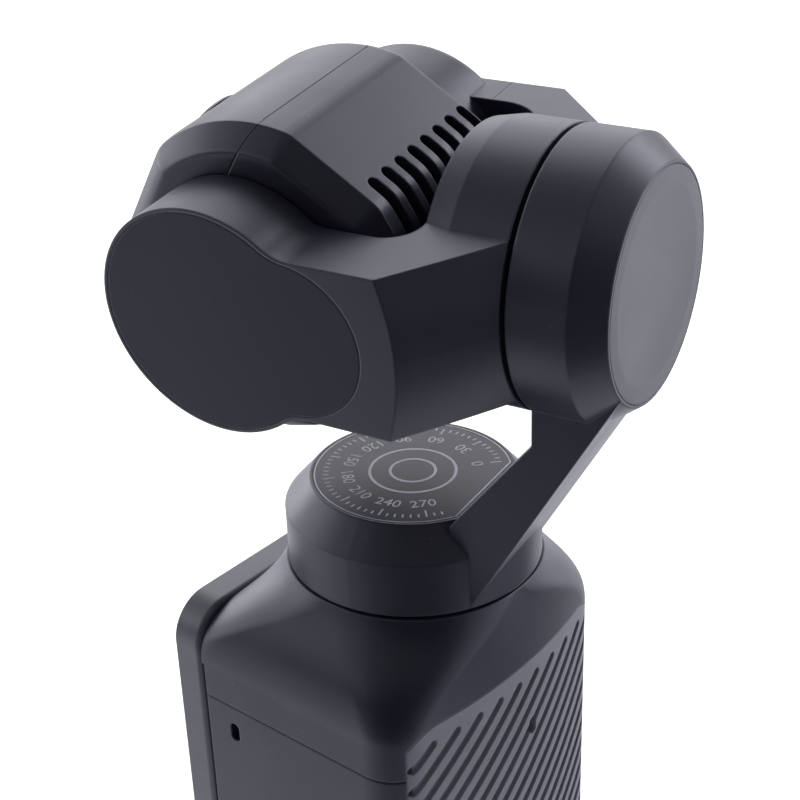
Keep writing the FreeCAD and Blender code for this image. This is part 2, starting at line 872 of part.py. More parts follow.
def make_usb_tongue():
    side = s.usbWidth / 2 - s.usbHeight / 3
    half = s.usbWall
    return make_block("usb_c_tongue", (-side, side), (usbY - half, usbY + half),
                      (s.usbRecess + s.rotorWall, usbTop - s.rotorWall))


def make_main_board():
    low = s.bottomCapThick + s.screenGap
    side = s.boardWidth / 2
    return make_block("main_board", (-side, side), (boardFront, boardBack), (low, low + s.boardLength))


def make_battery():
    low = speakerZ + s.speakerHeight / 2 + s.batteryLift
    side = s.batteryWidth / 2
    front = cardY + s.cardSlotWidth + s.screenGap
    return make_block("battery_cell", (-side, side), (front, innerRear - s.screenGap),
                      (low, low + s.batteryLength))


def make_speaker():
    half = s.speakerLength / 2
    return make_block("speaker_unit", (-innerSide, s.speakerDepth - innerSide),
                      (speakerY - half, speakerY + half),
                      (speakerZ - s.speakerHeight / 2, speakerZ + s.speakerHeight / 2))


def make_card_socket():
    half = s.cardSlotLength / 2 + s.wallThick / 2
    deep = s.cardSlotLength + s.wallThick * 2
    socket = make_block("CardSocketBlock", (-innerSide, deep - innerSide),
                        (boardBack, cardY + s.cardSlotWidth), (cardZ - half, cardZ + half))
    hollow = make_block("CardSocketHollow", (-innerSide - s.wallThick, deep - innerSide - s.wallThick),
                        (cardY - s.cardSlotWidth / 2, cardY + s.cardSlotWidth / 2),
                        (cardZ - s.cardSlotLength / 2, cardZ + s.cardSlotLength / 2))
    cut = doc.addObject("Part::Cut", "card_socket")
    cut.Base = socket
    cut.Tool = hollow
    return cut


def make_disc(name, radius, thick, frame, place):
    """A round disc with its axis along the frame's own Z, standing on the place's origin."""
    disc = doc.addObject("Part::Cylinder", name)
    bind(disc, "Radius", radius)
    bind(disc, "Height", thick)
    disc.Placement = place * frame
    return disc


def make_mic_capsules():
    level = (handleTop - s.micDrop).value
    side = rotation(Y_AXIS, 90)
    back = rotation(X_AXIS, -90)
    inside = (innerSide - s.micThick).value
    capsules = [
        make_disc("MicNear", s.micRadius, s.micThick, side, shift(inside, micY.value, level)),
        make_disc("MicFar", s.micRadius, s.micThick, side, shift(-innerSide.value, micY.value, level)),
        make_disc("MicRear", s.micRadius, s.micThick, back,
                  shift(gripMicX.value, (innerRear - s.micThick).value, level)),
    ]
    group = doc.addObject("Part::Compound", "mic_capsules")
    group.Links = capsules
    return group


def make_status_light():
    return make_disc("status_light", s.ledRadius, s.wallThick + s.fasciaThick, rotation(X_AXIS, -90),
                     shift(0, bodyFront.value, ledZ.value))


# Turned pieces on the front face, drawn about their own Y axis

def turned_piece(name, points, x, y, z):
    """A revolved body about an axis along Y through one point, from (radius, depth) points."""
    body = add_body(name)
    profile = add_sketch(body, name.title().replace("_", "") + "Profile", "XY_Plane")
    add_outline(profile, points)
    turn(body, profile, "V_Axis")
    body.Placement = shift(0, y.value, z.value)
    for axis, size in (("x", Size.of(x)), ("y", y), ("z", z)):
        bind(body, f"Placement.Base.{axis}", size)
    return body


def make_screen_bearing():
    bore = s.pivotRadius + s.runFit
    outer = s.pivotRadius + s.bearingWall
    depth = s.wallThick + s.bearingWall
    return turned_piece("screen_bearing", [
        (bore, ZERO), (outer, ZERO), (outer, s.wallThick), (outer + s.bearingWall, s.wallThick),
        (outer + s.bearingWall, depth), (bore, depth),
    ], 0, bodyFront, screenCentre)


def make_screen_pivot():
    bore = s.pivotRadius - s.pivotWall
    reach = pivotEnd - screenBack
    return turned_piece("screen_pivot", [
        (bore, ZERO), (s.pivotRadius, ZERO), (s.pivotRadius, reach), (s.pivotFlange, reach),
        (s.pivotFlange, reach + s.rotorWall), (bore, reach + s.rotorWall),
    ], 0, screenBack, screenCentre)


def make_record_button():
    rim = s.recordRadius
    flange = rim + s.rotorWall
    behind = s.wallThick + s.recordPlay
    chamfer = s.motorGap
    return turned_piece("record_button", [
        (ZERO, -s.recordLift), (rim - chamfer, -s.recordLift), (rim, chamfer - s.recordLift),
        (rim, behind), (flange, behind), (flange, behind + s.fasciaThick), (ZERO, behind + s.fasciaThick),
    ], 0, bodyFront, s.recordHeight)


def make_record_switch():
    behind = s.wallThick + s.recordPlay + s.fasciaThick
    half = s.recordRadius / 2
    return make_block("record_switch", (-half, half),
                      (bodyFront + behind + s.recordTravel + s.fitGap, boardFront),
                      (s.recordHeight - half, s.recordHeight + half))


def make_stick_base():
    """Open box on the board, with a hole on each side for the ring's pins."""
    half = s.stickRingRadius + s.bearingWall
    block = make_block("StickBaseBlock", (-half, half), (innerFront, boardFront),
                       (s.stickHeight - half, s.stickHeight + half))
    hollow = doc.addObject("Part::Cylinder", "StickBaseHollow")
    bind(hollow, "Radius", s.stickRingRadius + s.motorGap)
    bind(hollow, "Height", boardFront - innerFront - s.wallThick)
    hollow.Placement = shift(0, innerFront.value, s.stickHeight.value) * rotation(X_AXIS, -90)
    pins = doc.addObject("Part::Cylinder", "StickBasePinHoles")
    bind(pins, "Radius", s.stickPinRadius + s.runFit)
    bind(pins, "Height", half * 2)
    pins.Placement = shift(-half.value, stickPivotY.value, s.stickHeight.value) * rotation(Y_AXIS, 90)
    opened = doc.addObject("Part::Cut", "StickBaseOpened")
    opened.Base = block
    opened.Tool = hollow
    cut = doc.addObject("Part::Cut", "joystick_base")
    cut.Base = opened
    cut.Tool = pins
    return cut


def make_stick_ring():
    """Ring that tips up and down on two pins; the stem's own pins run in its other holes."""
    body = turned_piece("joystick_ring", rectangle(s.stickRingHole, s.stickRingRadius,
                                                   -s.stickRingHalf, s.stickRingHalf),
                        0, stickPivotY, s.stickHeight)
    holes = add_sketch(body, "RingPinHoles", "XY_Plane")
    add_circle(holes, 0, 0, s.stickPinRadius + s.runFit)
    pocket(body, holes, s.stickRingRadius * 2, symmetric=True)
    root_x = (s.stickRingHole + s.stickRingRadius) / 2
    for name, side in (("RingPinNear", 1), ("RingPinFar", -1)):
        pin = add_sketch(body, name, "YZ_Plane", root_x * side)
        add_circle(pin, 0, 0, s.stickPinRadius)
        pad(body, pin, s.stickRingRadius + s.bearingWall - s.motorGap - root_x, backwards=side < 0)
    return body


def make_stick_stem():
    hub = s.stickRingHole - s.motorGap
    tip = s.stickPivotDepth + s.stickCapLift - s.stickTipGap
    body = turned_piece("joystick_stem", [
        (ZERO, -tip), (s.stickStemRadius, -tip), (s.stickStemRadius, -s.stickRingHalf),
        (hub, -s.stickRingHalf), (hub, s.stickRingHalf), (ZERO, s.stickRingHalf),
    ], 0, stickPivotY, s.stickHeight)
    pin = add_sketch(body, "StemPin", "XY_Plane")
    add_circle(pin, 0, 0, s.stickPinRadius)
    pad(body, pin, (s.stickRingRadius - s.motorGap) * 2, symmetric=True)
    return body


def make_stick_cap():
    rim = s.stickCapRadius
    bore = s.stickStemRadius + s.runFit
    sleeve = bore + s.rotorWall
    under = -s.stickCapLift
    top = under - s.stickCapThick
    dish = s.motorGap
    lip = rim - dish
    dish_radius = (lip * lip + dish * dish) / (dish * 2)
    return turned_piece("joystick_cap", [
        (ZERO, top + dish, -dish_radius), (lip, top), (rim, top + dish), (rim, under), (sleeve, under),
        (sleeve, under + s.stickCapThick), (bore, under + s.stickCapThick), (bore, under), (ZERO, under),
    ], 0, bodyFront, s.stickHeight)


# Turning screen

def screen_outline(inset, corner):
    side = halfWidth - inset
    half = s.screenLength / 2 - inset
    return rounded_rectangle(-side, side, screenCentre - half, screenCentre + half, corner, corner)


def make_screen_frame():
    body = add_body("screen_frame")
    slab = add_sketch(body, "ScreenSlab", "XZ_Plane", -screenBack)
    add_outline(slab, screen_outline(ZERO, s.screenCorner))
    pad(body, slab, s.screenThick)
    dress(body, "Fillet", lambda p, e: near(p.y, screenBack.value), s.screenGap * 2, "ScreenBackRound")
    glass = add_sketch(body, "GlassSeat", "XZ_Plane", -screenFront)
    add_outline(glass, screen_outline(s.glassMargin, s.screenCorner - s.glassMargin))
    pocket(body, glass, s.glassThick)
    panel = add_sketch(body, "PanelSeat", "XZ_Plane", -screenFront)
    side = s.panelWidth / 2 + s.fitGap
    half = s.panelLength / 2 + s.fitGap
    add_outline(panel, rectangle(-side, side, screenCentre - half, screenCentre + half))
    pocket(body, panel, s.glassThick + s.panelThick)
    return body


def make_display_panel():
    side = s.panelWidth / 2
    half = s.panelLength / 2
    front = screenFront + s.glassThick
    return make_block("display_panel", (-side, side), (front, front + s.panelThick),
                      (screenCentre - half, screenCentre + half))


def make_screen_glass():
    body = add_body("screen_glass")
    plate = add_sketch(body, "GlassPlate", "XZ_Plane", -screenFront)
    add_outline(plate, screen_outline(s.glassMargin + s.fitGap, s.screenCorner - s.glassMargin - s.fitGap))
    pad(body, plate, s.glassThick, backwards=True)
    return body


# Motors: each rotor seats on the piece it turns and its stator on the bore's floor,
# drawn with the bore running along the motor's own +Z

class Motor:
    """One motor's names, sizes and frames."""

    def __init__(self, name, bore, depth, rotor_frame, stator_frame):
        self.name = name
        self.bore = bore
        self.depth = depth
        self.rotor_frame = rotor_frame
        self.stator_frame = stator_frame
        self.plate = s.rotorWall * 2
        self.skirt = bore - s.motorGap


def motor_piece(motor, kind, points, frame):
    body = add_body(f"{motor.name}_{kind}")
    profile = add_sketch(body, f"{motor.name.title()}{kind.title()}Profile", "XZ_Plane")
    add_outline(profile, points)
    turn(body, profile, "V_Axis")
    body.Placement = frame
    return body


def make_motor(motor):
    skirt_end = motor.depth - s.shaftRadius
    shaft_end = motor.depth - s.motorGap
    inner = motor.skirt - s.rotorWall
    rotor = motor_piece(motor, "rotor", [
        (ZERO, ZERO), (motor.skirt, ZERO), (motor.skirt, skirt_end), (inner, skirt_end),
        (inner, motor.plate), (s.shaftRadius, motor.plate), (s.shaftRadius, shaft_end), (ZERO, shaft_end),
    ], motor.rotor_frame)
    stator = motor_piece(motor, "stator", rectangle(
        s.bearingRadius + s.fitGap, inner - s.motorGap, motor.plate + s.motorGap, motor.depth),
        motor.stator_frame)
    bearing = motor_piece(motor, "bearing", rectangle(
        s.shaftRadius + s.runFit, s.bearingRadius, motor.plate + s.motorGap, motor.depth),
        motor.stator_frame)
    return [rotor, stator, bearing]


discBottom = -s.rollAxisHeight
deckZ = discBottom + s.panDeckHeight
yokeRear = s.rollFront - s.rollGap
rollBore = s.rollRadius - s.rollMotorWall
rollBoreFloor = s.rollRear - s.capThick - s.motorWall
farEnd = s.farHubInner - s.headGap
nearEnd = s.nearHubInner - s.headNearGap
tiltBore = s.tiltHubRadius - s.tiltMotorWall
tiltBoreFloor = s.armOuter - s.motorWall
nearBoreFloor = s.armOuter - s.coverThick - s.motorWall


def motors():
    down = rotation(X_AXIS, 180)
    back = rotation(X_AXIS, -90)
    outward = rotation(Y_AXIS, -90)
    under_disc = shift(0, 0, discBottom.value)
    behind_yoke = shift(0, yokeRear.value, 0)
    beside_head = shift(-farEnd.value, 0, 0)
    tilt_axis = shift(0, -s.tiltAxisForward.value, 0)
    return [
        Motor("pan", s.panBore, s.panMotorDepth + s.panGap, PAN_FRAME * under_disc * down,
              shift(0, 0, handleTop.value) * down),
        Motor("roll", rollBore, rollBoreFloor - yokeRear, ROLL_FRAME * behind_yoke * back,
              PAN_FRAME * behind_yoke * back),
        Motor("tilt", tiltBore, tiltBoreFloor - farEnd, TILT_FRAME * beside_head * outward,
              ROLL_FRAME * tilt_axis * beside_head * outward),
    ]


# Pan arm

def label_outline(radius):
    """A disc cut by the chord where the strut starts."""
    chord = s.strutFrontFoot - s.fitGap * 2
    half = root(radius * radius - chord * chord)
    return [(half, chord), (-half, chord, radius), (ZERO, -radius, radius)]


def make_pan_arm():
    body = add_body("pan_arm")
    disc = add_sketch(body, "DiscProfile", "XZ_Plane")
    add_outline(disc, [
        (ZERO, discBottom), (s.panRadius, discBottom), (s.panRadius, discBottom + s.panWallHeight),
        (s.labelRadius + s.motorGap, deckZ), (ZERO, deckZ),
    ])
    turn(body, disc, "V_Axis")
    strut = add_sketch(body, "StrutSide", "YZ_Plane")
    lean = tangent(s.strutLean)
    rear_height = (s.rollRear - s.strutRearFoot) / lean
    inside = discBottom + rear_height + s.capThick
    knee = discBottom + s.strutKneeHeight
    add_outline(strut, [
        (s.strutFrontFoot, discBottom), (s.strutRearFoot, discBottom),
        (s.rollRear, discBottom + rear_height), (s.rollRear, inside), (s.rollFront, inside),
        (s.rollFront, knee), (s.strutFrontFoot, deckZ),
    ])
    pad(body, strut, s.strutWidth, symmetric=True)
    housing = add_sketch(body, "RollHousing", "XY_Plane")
    add_outline(housing, [
        (ZERO, s.rollFront), (s.rollRadius, s.rollFront), (s.rollRadius, s.rollChamferStart),
        (s.capRadius + s.motorGap, s.rollRear), (ZERO, s.rollRear),
    ])
    turn(body, housing, "V_Axis")
    label = add_sketch(body, "LabelSeat", "XY_Plane", deckZ)
    add_outline(label, label_outline(s.labelRadius))
    pocket(body, label, s.labelThick)
    seat = add_sketch(body, "CapSeat", "XZ_Plane", -s.rollRear)
    add_circle(seat, 0, 0, s.capRadius + s.fitGap)
    pocket(body, seat, s.capThick, backwards=True)
    bore = add_sketch(body, "RollMotorBore", "XZ_Plane", -s.rollFront)
    add_circle(bore, 0, 0, rollBore)
    pocket(body, bore, rollBoreFloor - s.rollFront)
    body.Placement = PAN_FRAME
    return body


def make_label_plate():
    body = add_body("label_plate")
    plate = add_sketch(body, "LabelPlate", "XY_Plane", deckZ - s.labelThick)
    add_outline(plate, label_outline(s.labelRadius - s.fitGap))
    pad(body, plate, s.labelThick)
    body.Placement = PAN_FRAME
    return body


def make_roll_cap():
    """Round end cap, dished a little inside its rim."""
    body = add_body("roll_end_cap")
    profile = add_sketch(body, "RollCapProfile", "XY_Plane")
    inner = s.rollRear - s.capThick
    rim = s.capRadius - s.shaftRadius
    run = rim - s.capFlat
    dish_radius = (run * run + s.capDish * s.capDish) / (s.capDish * 2)
    add_outline(profile, [
        (ZERO, inner), (s.capRadius, inner), (s.capRadius, s.rollRear), (rim, s.rollRear, -dish_radius),
        (s.capFlat, s.rollRear - s.capDish), (ZERO, s.rollRear - s.capDish),
    ])
    turn(body, profile, "V_Axis")
    body.Placement = PAN_FRAME
    return body


# Yoke

def where_arm_meets_hub(p, edge):
    """Picks the straight edges across the near arm where its top and bottom run into the round hub."""
    across = near(p.x, (s.nearArmInner.value + s.armOuter.value) / 2, s.fitGap.value * 10)
    level = near(abs(p.z), s.armHalfHeight.value)
    return across and level and edge.Length < s.tiltHubRadius.value and p.y < s.tiltHubRadius.value


def make_yoke():
    body = add_body("yoke")
    front = -s.tiltAxisForward
    plan = add_sketch(body, "YokePlan", "XY_Plane")
    add_outline(plan, [
        (s.armOuter, front), (s.armOuter, yokeRear), (-s.armOuter, yokeRear), (-s.armOuter, s.farSeam),
        (-s.farArmInner, s.farSeam), (-s.farArmInner, s.yokeHubFront), (s.nearArmInner, s.yokeHubFront),
        (s.nearArmInner, front),
    ])
    pad(body, plan, s.armHalfHeight * 2, symmetric=True)
    flare = add_sketch(body, "YokeFlare", "XY_Plane")
    reach = s.armOuter + s.armHalfHeight
    drop = (reach - s.rollRadius) / tangent(s.yokeFlare)
    add_outline(flare, [(s.rollRadius, yokeRear), (reach, yokeRear - drop), (reach, yokeRear)])
    turn(body, flare, "V_Axis", cut=True)
    hub = add_sketch(body, "YokeHub", "XY_Plane")
    add_outline(hub, [
        (ZERO, s.yokeHubFront), (s.yokeHubNose, s.yokeHubFront), (s.rollRadius, s.yokeHubShoulder),
        (s.rollRadius, yokeRear), (ZERO, yokeRear),
    ])
    turn(body, hub, "V_Axis")
    ring = add_sketch(body, "NearHub", "YZ_Plane", s.nearHubInner)
    add_circle(ring, front, 0, s.tiltHubRadius)
    pad(body, ring, s.armOuter - s.nearHubInner)
    dress(body, "Fillet", where_arm_meets_hub, s.neckRound, "NeckRound")
    for name, side, radius in (
        ("NearInnerRound", 1, s.nearInnerRound), ("FarInnerRound", -1, s.farInnerRound),
    ):
        dress(body, "Fillet", lambda p, e: near(p.z, 0) and near(p.y, s.yokeHubFront.value)
              and p.x * side > s.rollRadius.value, radius, name)
    corner = add_sketch(body, "FarCorner", "XY_Plane")
    add_outline(corner, [
        (-s.armOuter - s.fitGap, s.farCornerStart), (-s.farCornerSide, s.farCornerEnd),
        (-s.rollRadius - s.fitGap, yokeRear), (-s.armOuter - s.fitGap, yokeRear),
    ])
    pocket(body, corner, s.rollRadius * 2, symmetric=True)
    seat = add_sketch(body, "CoverSeat", "YZ_Plane", s.armOuter)
    add_outline(seat, cover_outline(ZERO))
    pocket(body, seat, s.coverThick)
    bore = add_sketch(body, "NearBore", "YZ_Plane", s.nearHubInner)
    add_circle(bore, front, 0, s.nearBearingRadius)
    pocket(body, bore, nearBoreFloor - s.nearHubInner, backwards=True)
    body.Placement = ROLL_FRAME
    return body


def cover_outline(shrink):
    """Two discs joined by a waist: arcs tangent to both, seen along the tilt axis."""
    head_y = -s.tiltAxisForward
    tail_y = -s.coverTailForward
    head = s.tiltHubRadius - s.coverInset - shrink
    tail = s.coverTailRadius - shrink
    neck = s.coverNeckRadius + shrink
    span = tail_y - head_y
    reach = head + neck
    far_reach = tail + neck
    along = (reach * reach - far_reach * far_reach + span * span) / (span * 2)
    rise = root(reach * reach - along * along)
    head_touch = (head_y + along * head / reach, rise * head / reach)
    tail_touch = (tail_y - (span - along) * tail / far_reach, rise * tail / far_reach)
    return [
        (head_touch[0], -head_touch[1], -neck), (tail_touch[0], -tail_touch[1], tail),
        (tail_y + tail, ZERO, tail), (*tail_touch, -neck), (*head_touch, head),
        (head_y - head, ZERO, head),
    ]


def make_tilt_cover():
    body = add_body("tilt_cover")
    plate = add_sketch(body, "CoverPlate", "YZ_Plane", s.armOuter - s.coverThick)
    add_outline(plate, cover_outline(s.fitGap))
    pad(body, plate, s.coverThick)
    body.Placement = ROLL_FRAME
    return body


def make_far_hub():
    """Round motor drum with its stub of arm, drawn about the tilt axis."""
    body = add_body("far_hub_housing")
    plan = add_sketch(body, "FarArmPlan", "XY_Plane")
    add_outline(plan, rectangle(-s.armOuter, -s.farArmInner, ZERO, s.farSeam + s.tiltAxisForward))
    pad(body, plan, s.armHalfHeight * 2, symmetric=True)
    drum = add_sketch(body, "FarDrum", "XY_Plane")
    rim = s.tiltHubRadius
    edge = s.drumEdgeRound
    add_outline(drum, [
        (-s.armOuter, ZERO), (-s.farHubInner, ZERO), (-s.farHubInner, rim),
        (edge - s.armOuter, rim, edge), (-s.armOuter, rim - edge),
    ])
    turn(body, drum, "H_Axis")
    seam = add_sketch(body, "FarSeamCut", "XY_Plane")
    seam_y = s.farSeam + s.tiltAxisForward
    add_outline(seam, rectangle(-s.armOuter - s.fitGap, -s.farArmInner, seam_y, seam_y + rim))
    pocket(body, seam, rim * 2, symmetric=True)
    bore = add_sketch(body, "TiltMotorBore", "YZ_Plane", -s.farHubInner)
    add_circle(bore, 0, 0, tiltBore)
    pocket(body, bore, tiltBoreFloor - s.farHubInner)
    body.Placement = ROLL_FRAME * shift(0, -s.tiltAxisForward.value, 0)
    return body


def make_near_bearing():
    ring = doc.addObject("Part::Cylinder", "NearBearingDisc")
    hole = doc.addObject("Part::Cylinder", "NearBearingHole")
    bind(ring, "Radius", s.nearBearingRadius - s.fitGap)
    bind(hole, "Radius", s.shaftRadius + s.runFit)
    for disc in (ring, hole):
        bind(disc, "Height", nearBoreFloor - s.nearHubInner)
    cut = doc.addObject("Part::Cut", "tilt_near_bearing")
    cut.Base = ring
    cut.Tool = hole
    cut.Placement = (ROLL_FRAME * shift(s.nearHubInner.value, -s.tiltAxisForward.value, 0)
                     * rotation(Y_AXIS, 90))
    return cut


def make_near_trunnion():
    pin = doc.addObject("Part::Cylinder", "tilt_near_shaft")
    bind(pin, "Radius", s.shaftRadius)
    bind(pin, "Height", nearBoreFloor - nearEnd - s.motorGap)
    pin.Placement = TILT_FRAME * shift(nearEnd.value, 0, 0) * rotation(Y_AXIS, 90)
    return pin


# Camera head, drawn with the lens looking along -Y and the tilt axis through the origin

headCentreX = (nearEnd - farEnd) / 2


def head_outline():
    """The head's profile seen along the tilt axis."""
    nose = s.headTop
    return [
        (-s.headFront, s.headFlat), (-s.headFront, -s.headFlat, s.headRound), (-s.headTopFront, -nose),
        (s.headRearEdge, -s.headRearTop), (s.headBevelBack, -s.headBevelTop), (s.headRear, -s.headRearFlat),
        (s.headRear, s.headRearFlat), (s.headBevelBack, s.headBevelTop), (s.headRearEdge, s.headRearTop),
        (-s.headTopFront, nose, s.headRound),
    ]


def head_half(body, prefix, front):
    """Pad the whole profile, round it, then cut away the other side of the seam."""
    width = farEnd + nearEnd
    profile = add_sketch(body, prefix + "Profile", "YZ_Plane", -farEnd)
    add_outline(profile, head_outline())
    pad(body, profile, width)
    dress(body, "Fillet", lambda p, e: near(e.Length, width.value) and near(p.x, headCentreX.value),
          s.headKinkRound, prefix + "KinkRound")
    for end, name, radius in (
        (-farEnd, "EndRound", s.headEndRound), (nearEnd, "NearRound", s.headNearRound),
    ):
        dress(body, "Fillet", lambda p, e: near(p.x, end.value), radius, prefix + name)
    beyond = s.headTop * 2
    low, high = (-s.headSeam, beyond) if front else (-beyond, -s.headSeam)
    other = add_sketch(body, prefix + "Seam", "YZ_Plane", -farEnd)
    add_outline(other, rectangle(low, high, -beyond, beyond))
    pocket(body, other, width, backwards=True)


def make_rear_housing():
    body = add_body("camera_rear_housing")
    head_half(body, "Rear", front=False)
    cavity = add_sketch(body, "SensorCavity", "XZ_Plane", s.headSeam)
    half = s.sensorWidth / 2 + s.motorGap
    add_outline(cavity, rectangle(headCentreX - half, headCentreX + half, -half, half))
    pocket(body, cavity, sensorBack + s.headSeam + s.motorWall)
    radius = s.finWidth / 2
    floor = s.headRearTop - s.finDepth
    start = s.finStart + radius
    first = headCentreX - s.finOffset - s.finPitch * (s.finCount - 1) / 2
    beyond = s.headTop * 2
    side = add_sketch(body, "FinSlot", "YZ_Plane", first)
    add_outline(side, [
        (start, floor), (s.headRearEdge - s.motorGap, floor),
        (s.headRear - s.finDepth, s.headRearFlat - s.motorGap * 2), (s.headRear - s.finDepth, s.finEnd),
        (beyond, s.finEnd), (beyond, beyond), (start, beyond),
    ])
    run = pocket(body, side, s.finWidth, symmetric=True)
    tip = add_sketch(body, "FinTip", "XY_Plane", s.headTop + s.finDepth)
    add_circle(tip, first, start, radius)
    end = pocket(body, tip, s.headTop + s.finDepth - floor)
    pattern_along(body, [run, end], tip, "H_Axis", s.finCount, s.finPitch, "Fins")
    body.Placement = TILT_FRAME
    return body


barrelFront = s.rotorWall - s.headFront
barrelBack = barrelFront + s.barrelLength
sensorBack = barrelBack + s.sensorThick


def make_front_housing():
    body = add_body("camera_front_housing")
    head_half(body, "Front", front=True)
    for name, radius, depth in (
        ("LensRingSeat", s.lensRingRadius + s.fitGap, s.lensRingDepth),
        ("BarrelBore", s.barrelRadius + s.fitGap, s.headFront),
    ):
        bore = add_sketch(body, name, "XZ_Plane", s.headFront)
        add_circle(bore, headCentreX, 0, radius)
        pocket(body, bore, depth)
    body.Placement = TILT_FRAME
    return body


def lens_piece(name, points):
    """A revolved piece about the lens axis."""
    body = add_body(name)
    profile = add_sketch(body, name.title().replace("_", "") + "Profile", "XY_Plane")
    add_outline(profile, points)
    turn(body, profile, "V_Axis")
    body.Placement = TILT_FRAME * shift(headCentreX.value, 0, 0)
    return body


def make_lens_parts():
    ring_back = s.lensRingDepth - s.headFront
    ring_front = -s.headFront
    ring_hole = s.lensRingRadius - s.lensRingWall
    bore = s.barrelRadius - s.barrelWall
    glass = bore - s.fitGap
    lens_back = barrelFront + s.frontLensThick * 2
    shelf = bore - s.barrelWall
    dome = (glass * glass + s.frontLensThick * s.frontLensThick) / (s.frontLensThick * 2)
    inner_front = barrelBack - s.rearLensThick * 2
    ring = lens_piece("lens_ring", [
        (s.lensRingRadius, ring_back), (s.lensRingRadius, ring_front + s.motorGap),
        (s.lensRingRadius - s.motorGap, ring_front), (ring_hole + s.rotorWall / 2, ring_front),
        (ring_hole, ring_front + s.rotorWall), (ring_hole, ring_back),
    ])
    barrel = lens_piece("lens_barrel", [
        (bore, barrelFront), (s.barrelRadius, barrelFront), (s.barrelRadius, barrelBack),
        (shelf, barrelBack), (shelf, lens_back), (bore, lens_back),
    ])
    front = lens_piece("front_lens", [
        (ZERO, barrelFront, dome), (glass, lens_back - s.frontLensThick), (glass, lens_back),
        (ZERO, lens_back),
    ])
    rear = lens_piece("rear_lens", rectangle(
        ZERO, shelf - s.fitGap, inner_front, inner_front + s.rearLensThick))
    return [ring, barrel, front, rear]


def make_sensor_board():
    half = (s.sensorWidth / 2).value
    board = doc.addObject("Part::Box", "sensor_board")
    bind(board, "Length", s.sensorWidth)
    bind(board, "Width", s.sensorThick)
    bind(board, "Height", s.sensorWidth)
    board.Placement = TILT_FRAME * shift(headCentreX.value - half, barrelBack.value, -half)
    return board


def make_all():
    pieces = [
        make_handle_shell(), make_shoulder_cover(), make_grip_panel(), make_front_fascia(), make_bottom_cap(),
        make_base_screws(), make_usb_shell(), make_usb_tongue(), make_main_board(), make_battery(),
        make_speaker(), make_card_socket(), make_mic_capsules(), make_status_light(), make_screen_bearing(),
        make_screen_pivot(), make_record_button(), make_record_switch(), make_stick_base(),
        make_stick_ring(), make_stick_stem(), make_stick_cap(), make_screen_frame(), make_display_panel(),
        make_screen_glass(), make_pan_arm(), make_label_plate(), make_roll_cap(), make_yoke(),
        make_tilt_cover(), make_far_hub(), make_near_bearing(), make_near_trunnion(),
        make_rear_housing(), make_front_housing(), make_sensor_board(),
    ]
    pieces += make_lens_parts()
    for motor in motors():
        pieces += make_motor(motor)
    return pieces


def check(pieces):
    """Stop before anything is written if an object failed or a shape is unsound."""
    for item in doc.Objects:
        if "Invalid" in item.State or "Error" in item.State:
            raise RuntimeError(item.Name + " failed to build")
    for piece in pieces:
        if piece.Shape.isNull() or not piece.Shape.isValid():
            raise RuntimeError(piece.Name + " has no sound shape")


def write(pieces):
    os.makedirs("parts", exist_ok=True)
    for piece in pieces:
        piece.Label = piece.Name
        piece.Shape.exportStep(f"parts/{piece.Label}.step")
        print(piece.Label, round(piece.Shape.Volume, 1), len(piece.Shape.Faces))


pieces = make_all()
doc.recompute()
check(pieces)
write(pieces)
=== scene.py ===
import json
import math
import bpy
from mathutils import Matrix, Vector


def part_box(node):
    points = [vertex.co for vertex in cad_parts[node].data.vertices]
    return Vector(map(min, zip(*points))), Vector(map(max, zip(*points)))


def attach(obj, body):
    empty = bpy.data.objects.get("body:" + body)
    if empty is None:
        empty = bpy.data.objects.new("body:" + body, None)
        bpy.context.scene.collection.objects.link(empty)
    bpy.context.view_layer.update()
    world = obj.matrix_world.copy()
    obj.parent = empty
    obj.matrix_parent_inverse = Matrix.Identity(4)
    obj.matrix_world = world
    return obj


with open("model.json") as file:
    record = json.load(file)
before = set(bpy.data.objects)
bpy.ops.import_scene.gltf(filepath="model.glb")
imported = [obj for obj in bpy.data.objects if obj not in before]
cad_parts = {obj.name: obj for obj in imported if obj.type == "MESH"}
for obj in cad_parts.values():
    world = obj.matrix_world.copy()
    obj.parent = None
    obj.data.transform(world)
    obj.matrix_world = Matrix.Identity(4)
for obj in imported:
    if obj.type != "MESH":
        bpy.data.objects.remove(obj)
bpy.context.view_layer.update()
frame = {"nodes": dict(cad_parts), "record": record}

cadNodes = frame["nodes"]
mm = 0.001  # scene units are metres

print("frame loaded:", len(cadNodes), "nodes")


# The gimbal's frames at rest: about the upright, then the roll axis, then the tilt axis

rollAxisZ = 124.48 * mm
tiltAxisForward = 8.29 * mm
panTurn = math.radians(9.4)
rollTurn = math.radians(6.2)
tiltTurn = math.radians(31.3)
panFrame = Matrix.Translation((0, 0, rollAxisZ)) @ Matrix.Rotation(panTurn, 4, "Z")
rollFrame = panFrame @ Matrix.Rotation(rollTurn, 4, "Y")
tiltFrame = rollFrame @ Matrix.Translation((0, -tiltAxisForward, 0)) @ Matrix.Rotation(-tiltTurn, 4, "X")


# Material helpers

cloudDetail = 4
grainDetail = 2
plainSpecular = 0.5
edgeSamples = 6


def newMaterial(name):
    material = bpy.data.materials.new(name)
    material.use_nodes = True
    return material, material.node_tree.nodes, material.node_tree.links


def shaderOf(nodes):
    return [node for node in nodes if node.type == "BSDF_PRINCIPLED"][0]


def objectPlace(nodes):
    return nodes.new("ShaderNodeTexCoord").outputs["Object"]


def noiseOn(nodes, links, place, scale, detail=3, roughness=0.55):
    noise = nodes.new("ShaderNodeTexNoise")
    noise.inputs["Scale"].default_value = scale
    noise.inputs["Detail"].default_value = detail
    noise.inputs["Roughness"].default_value = roughness
    links.new(place, noise.inputs["Vector"])
    return noise.outputs["Fac"]


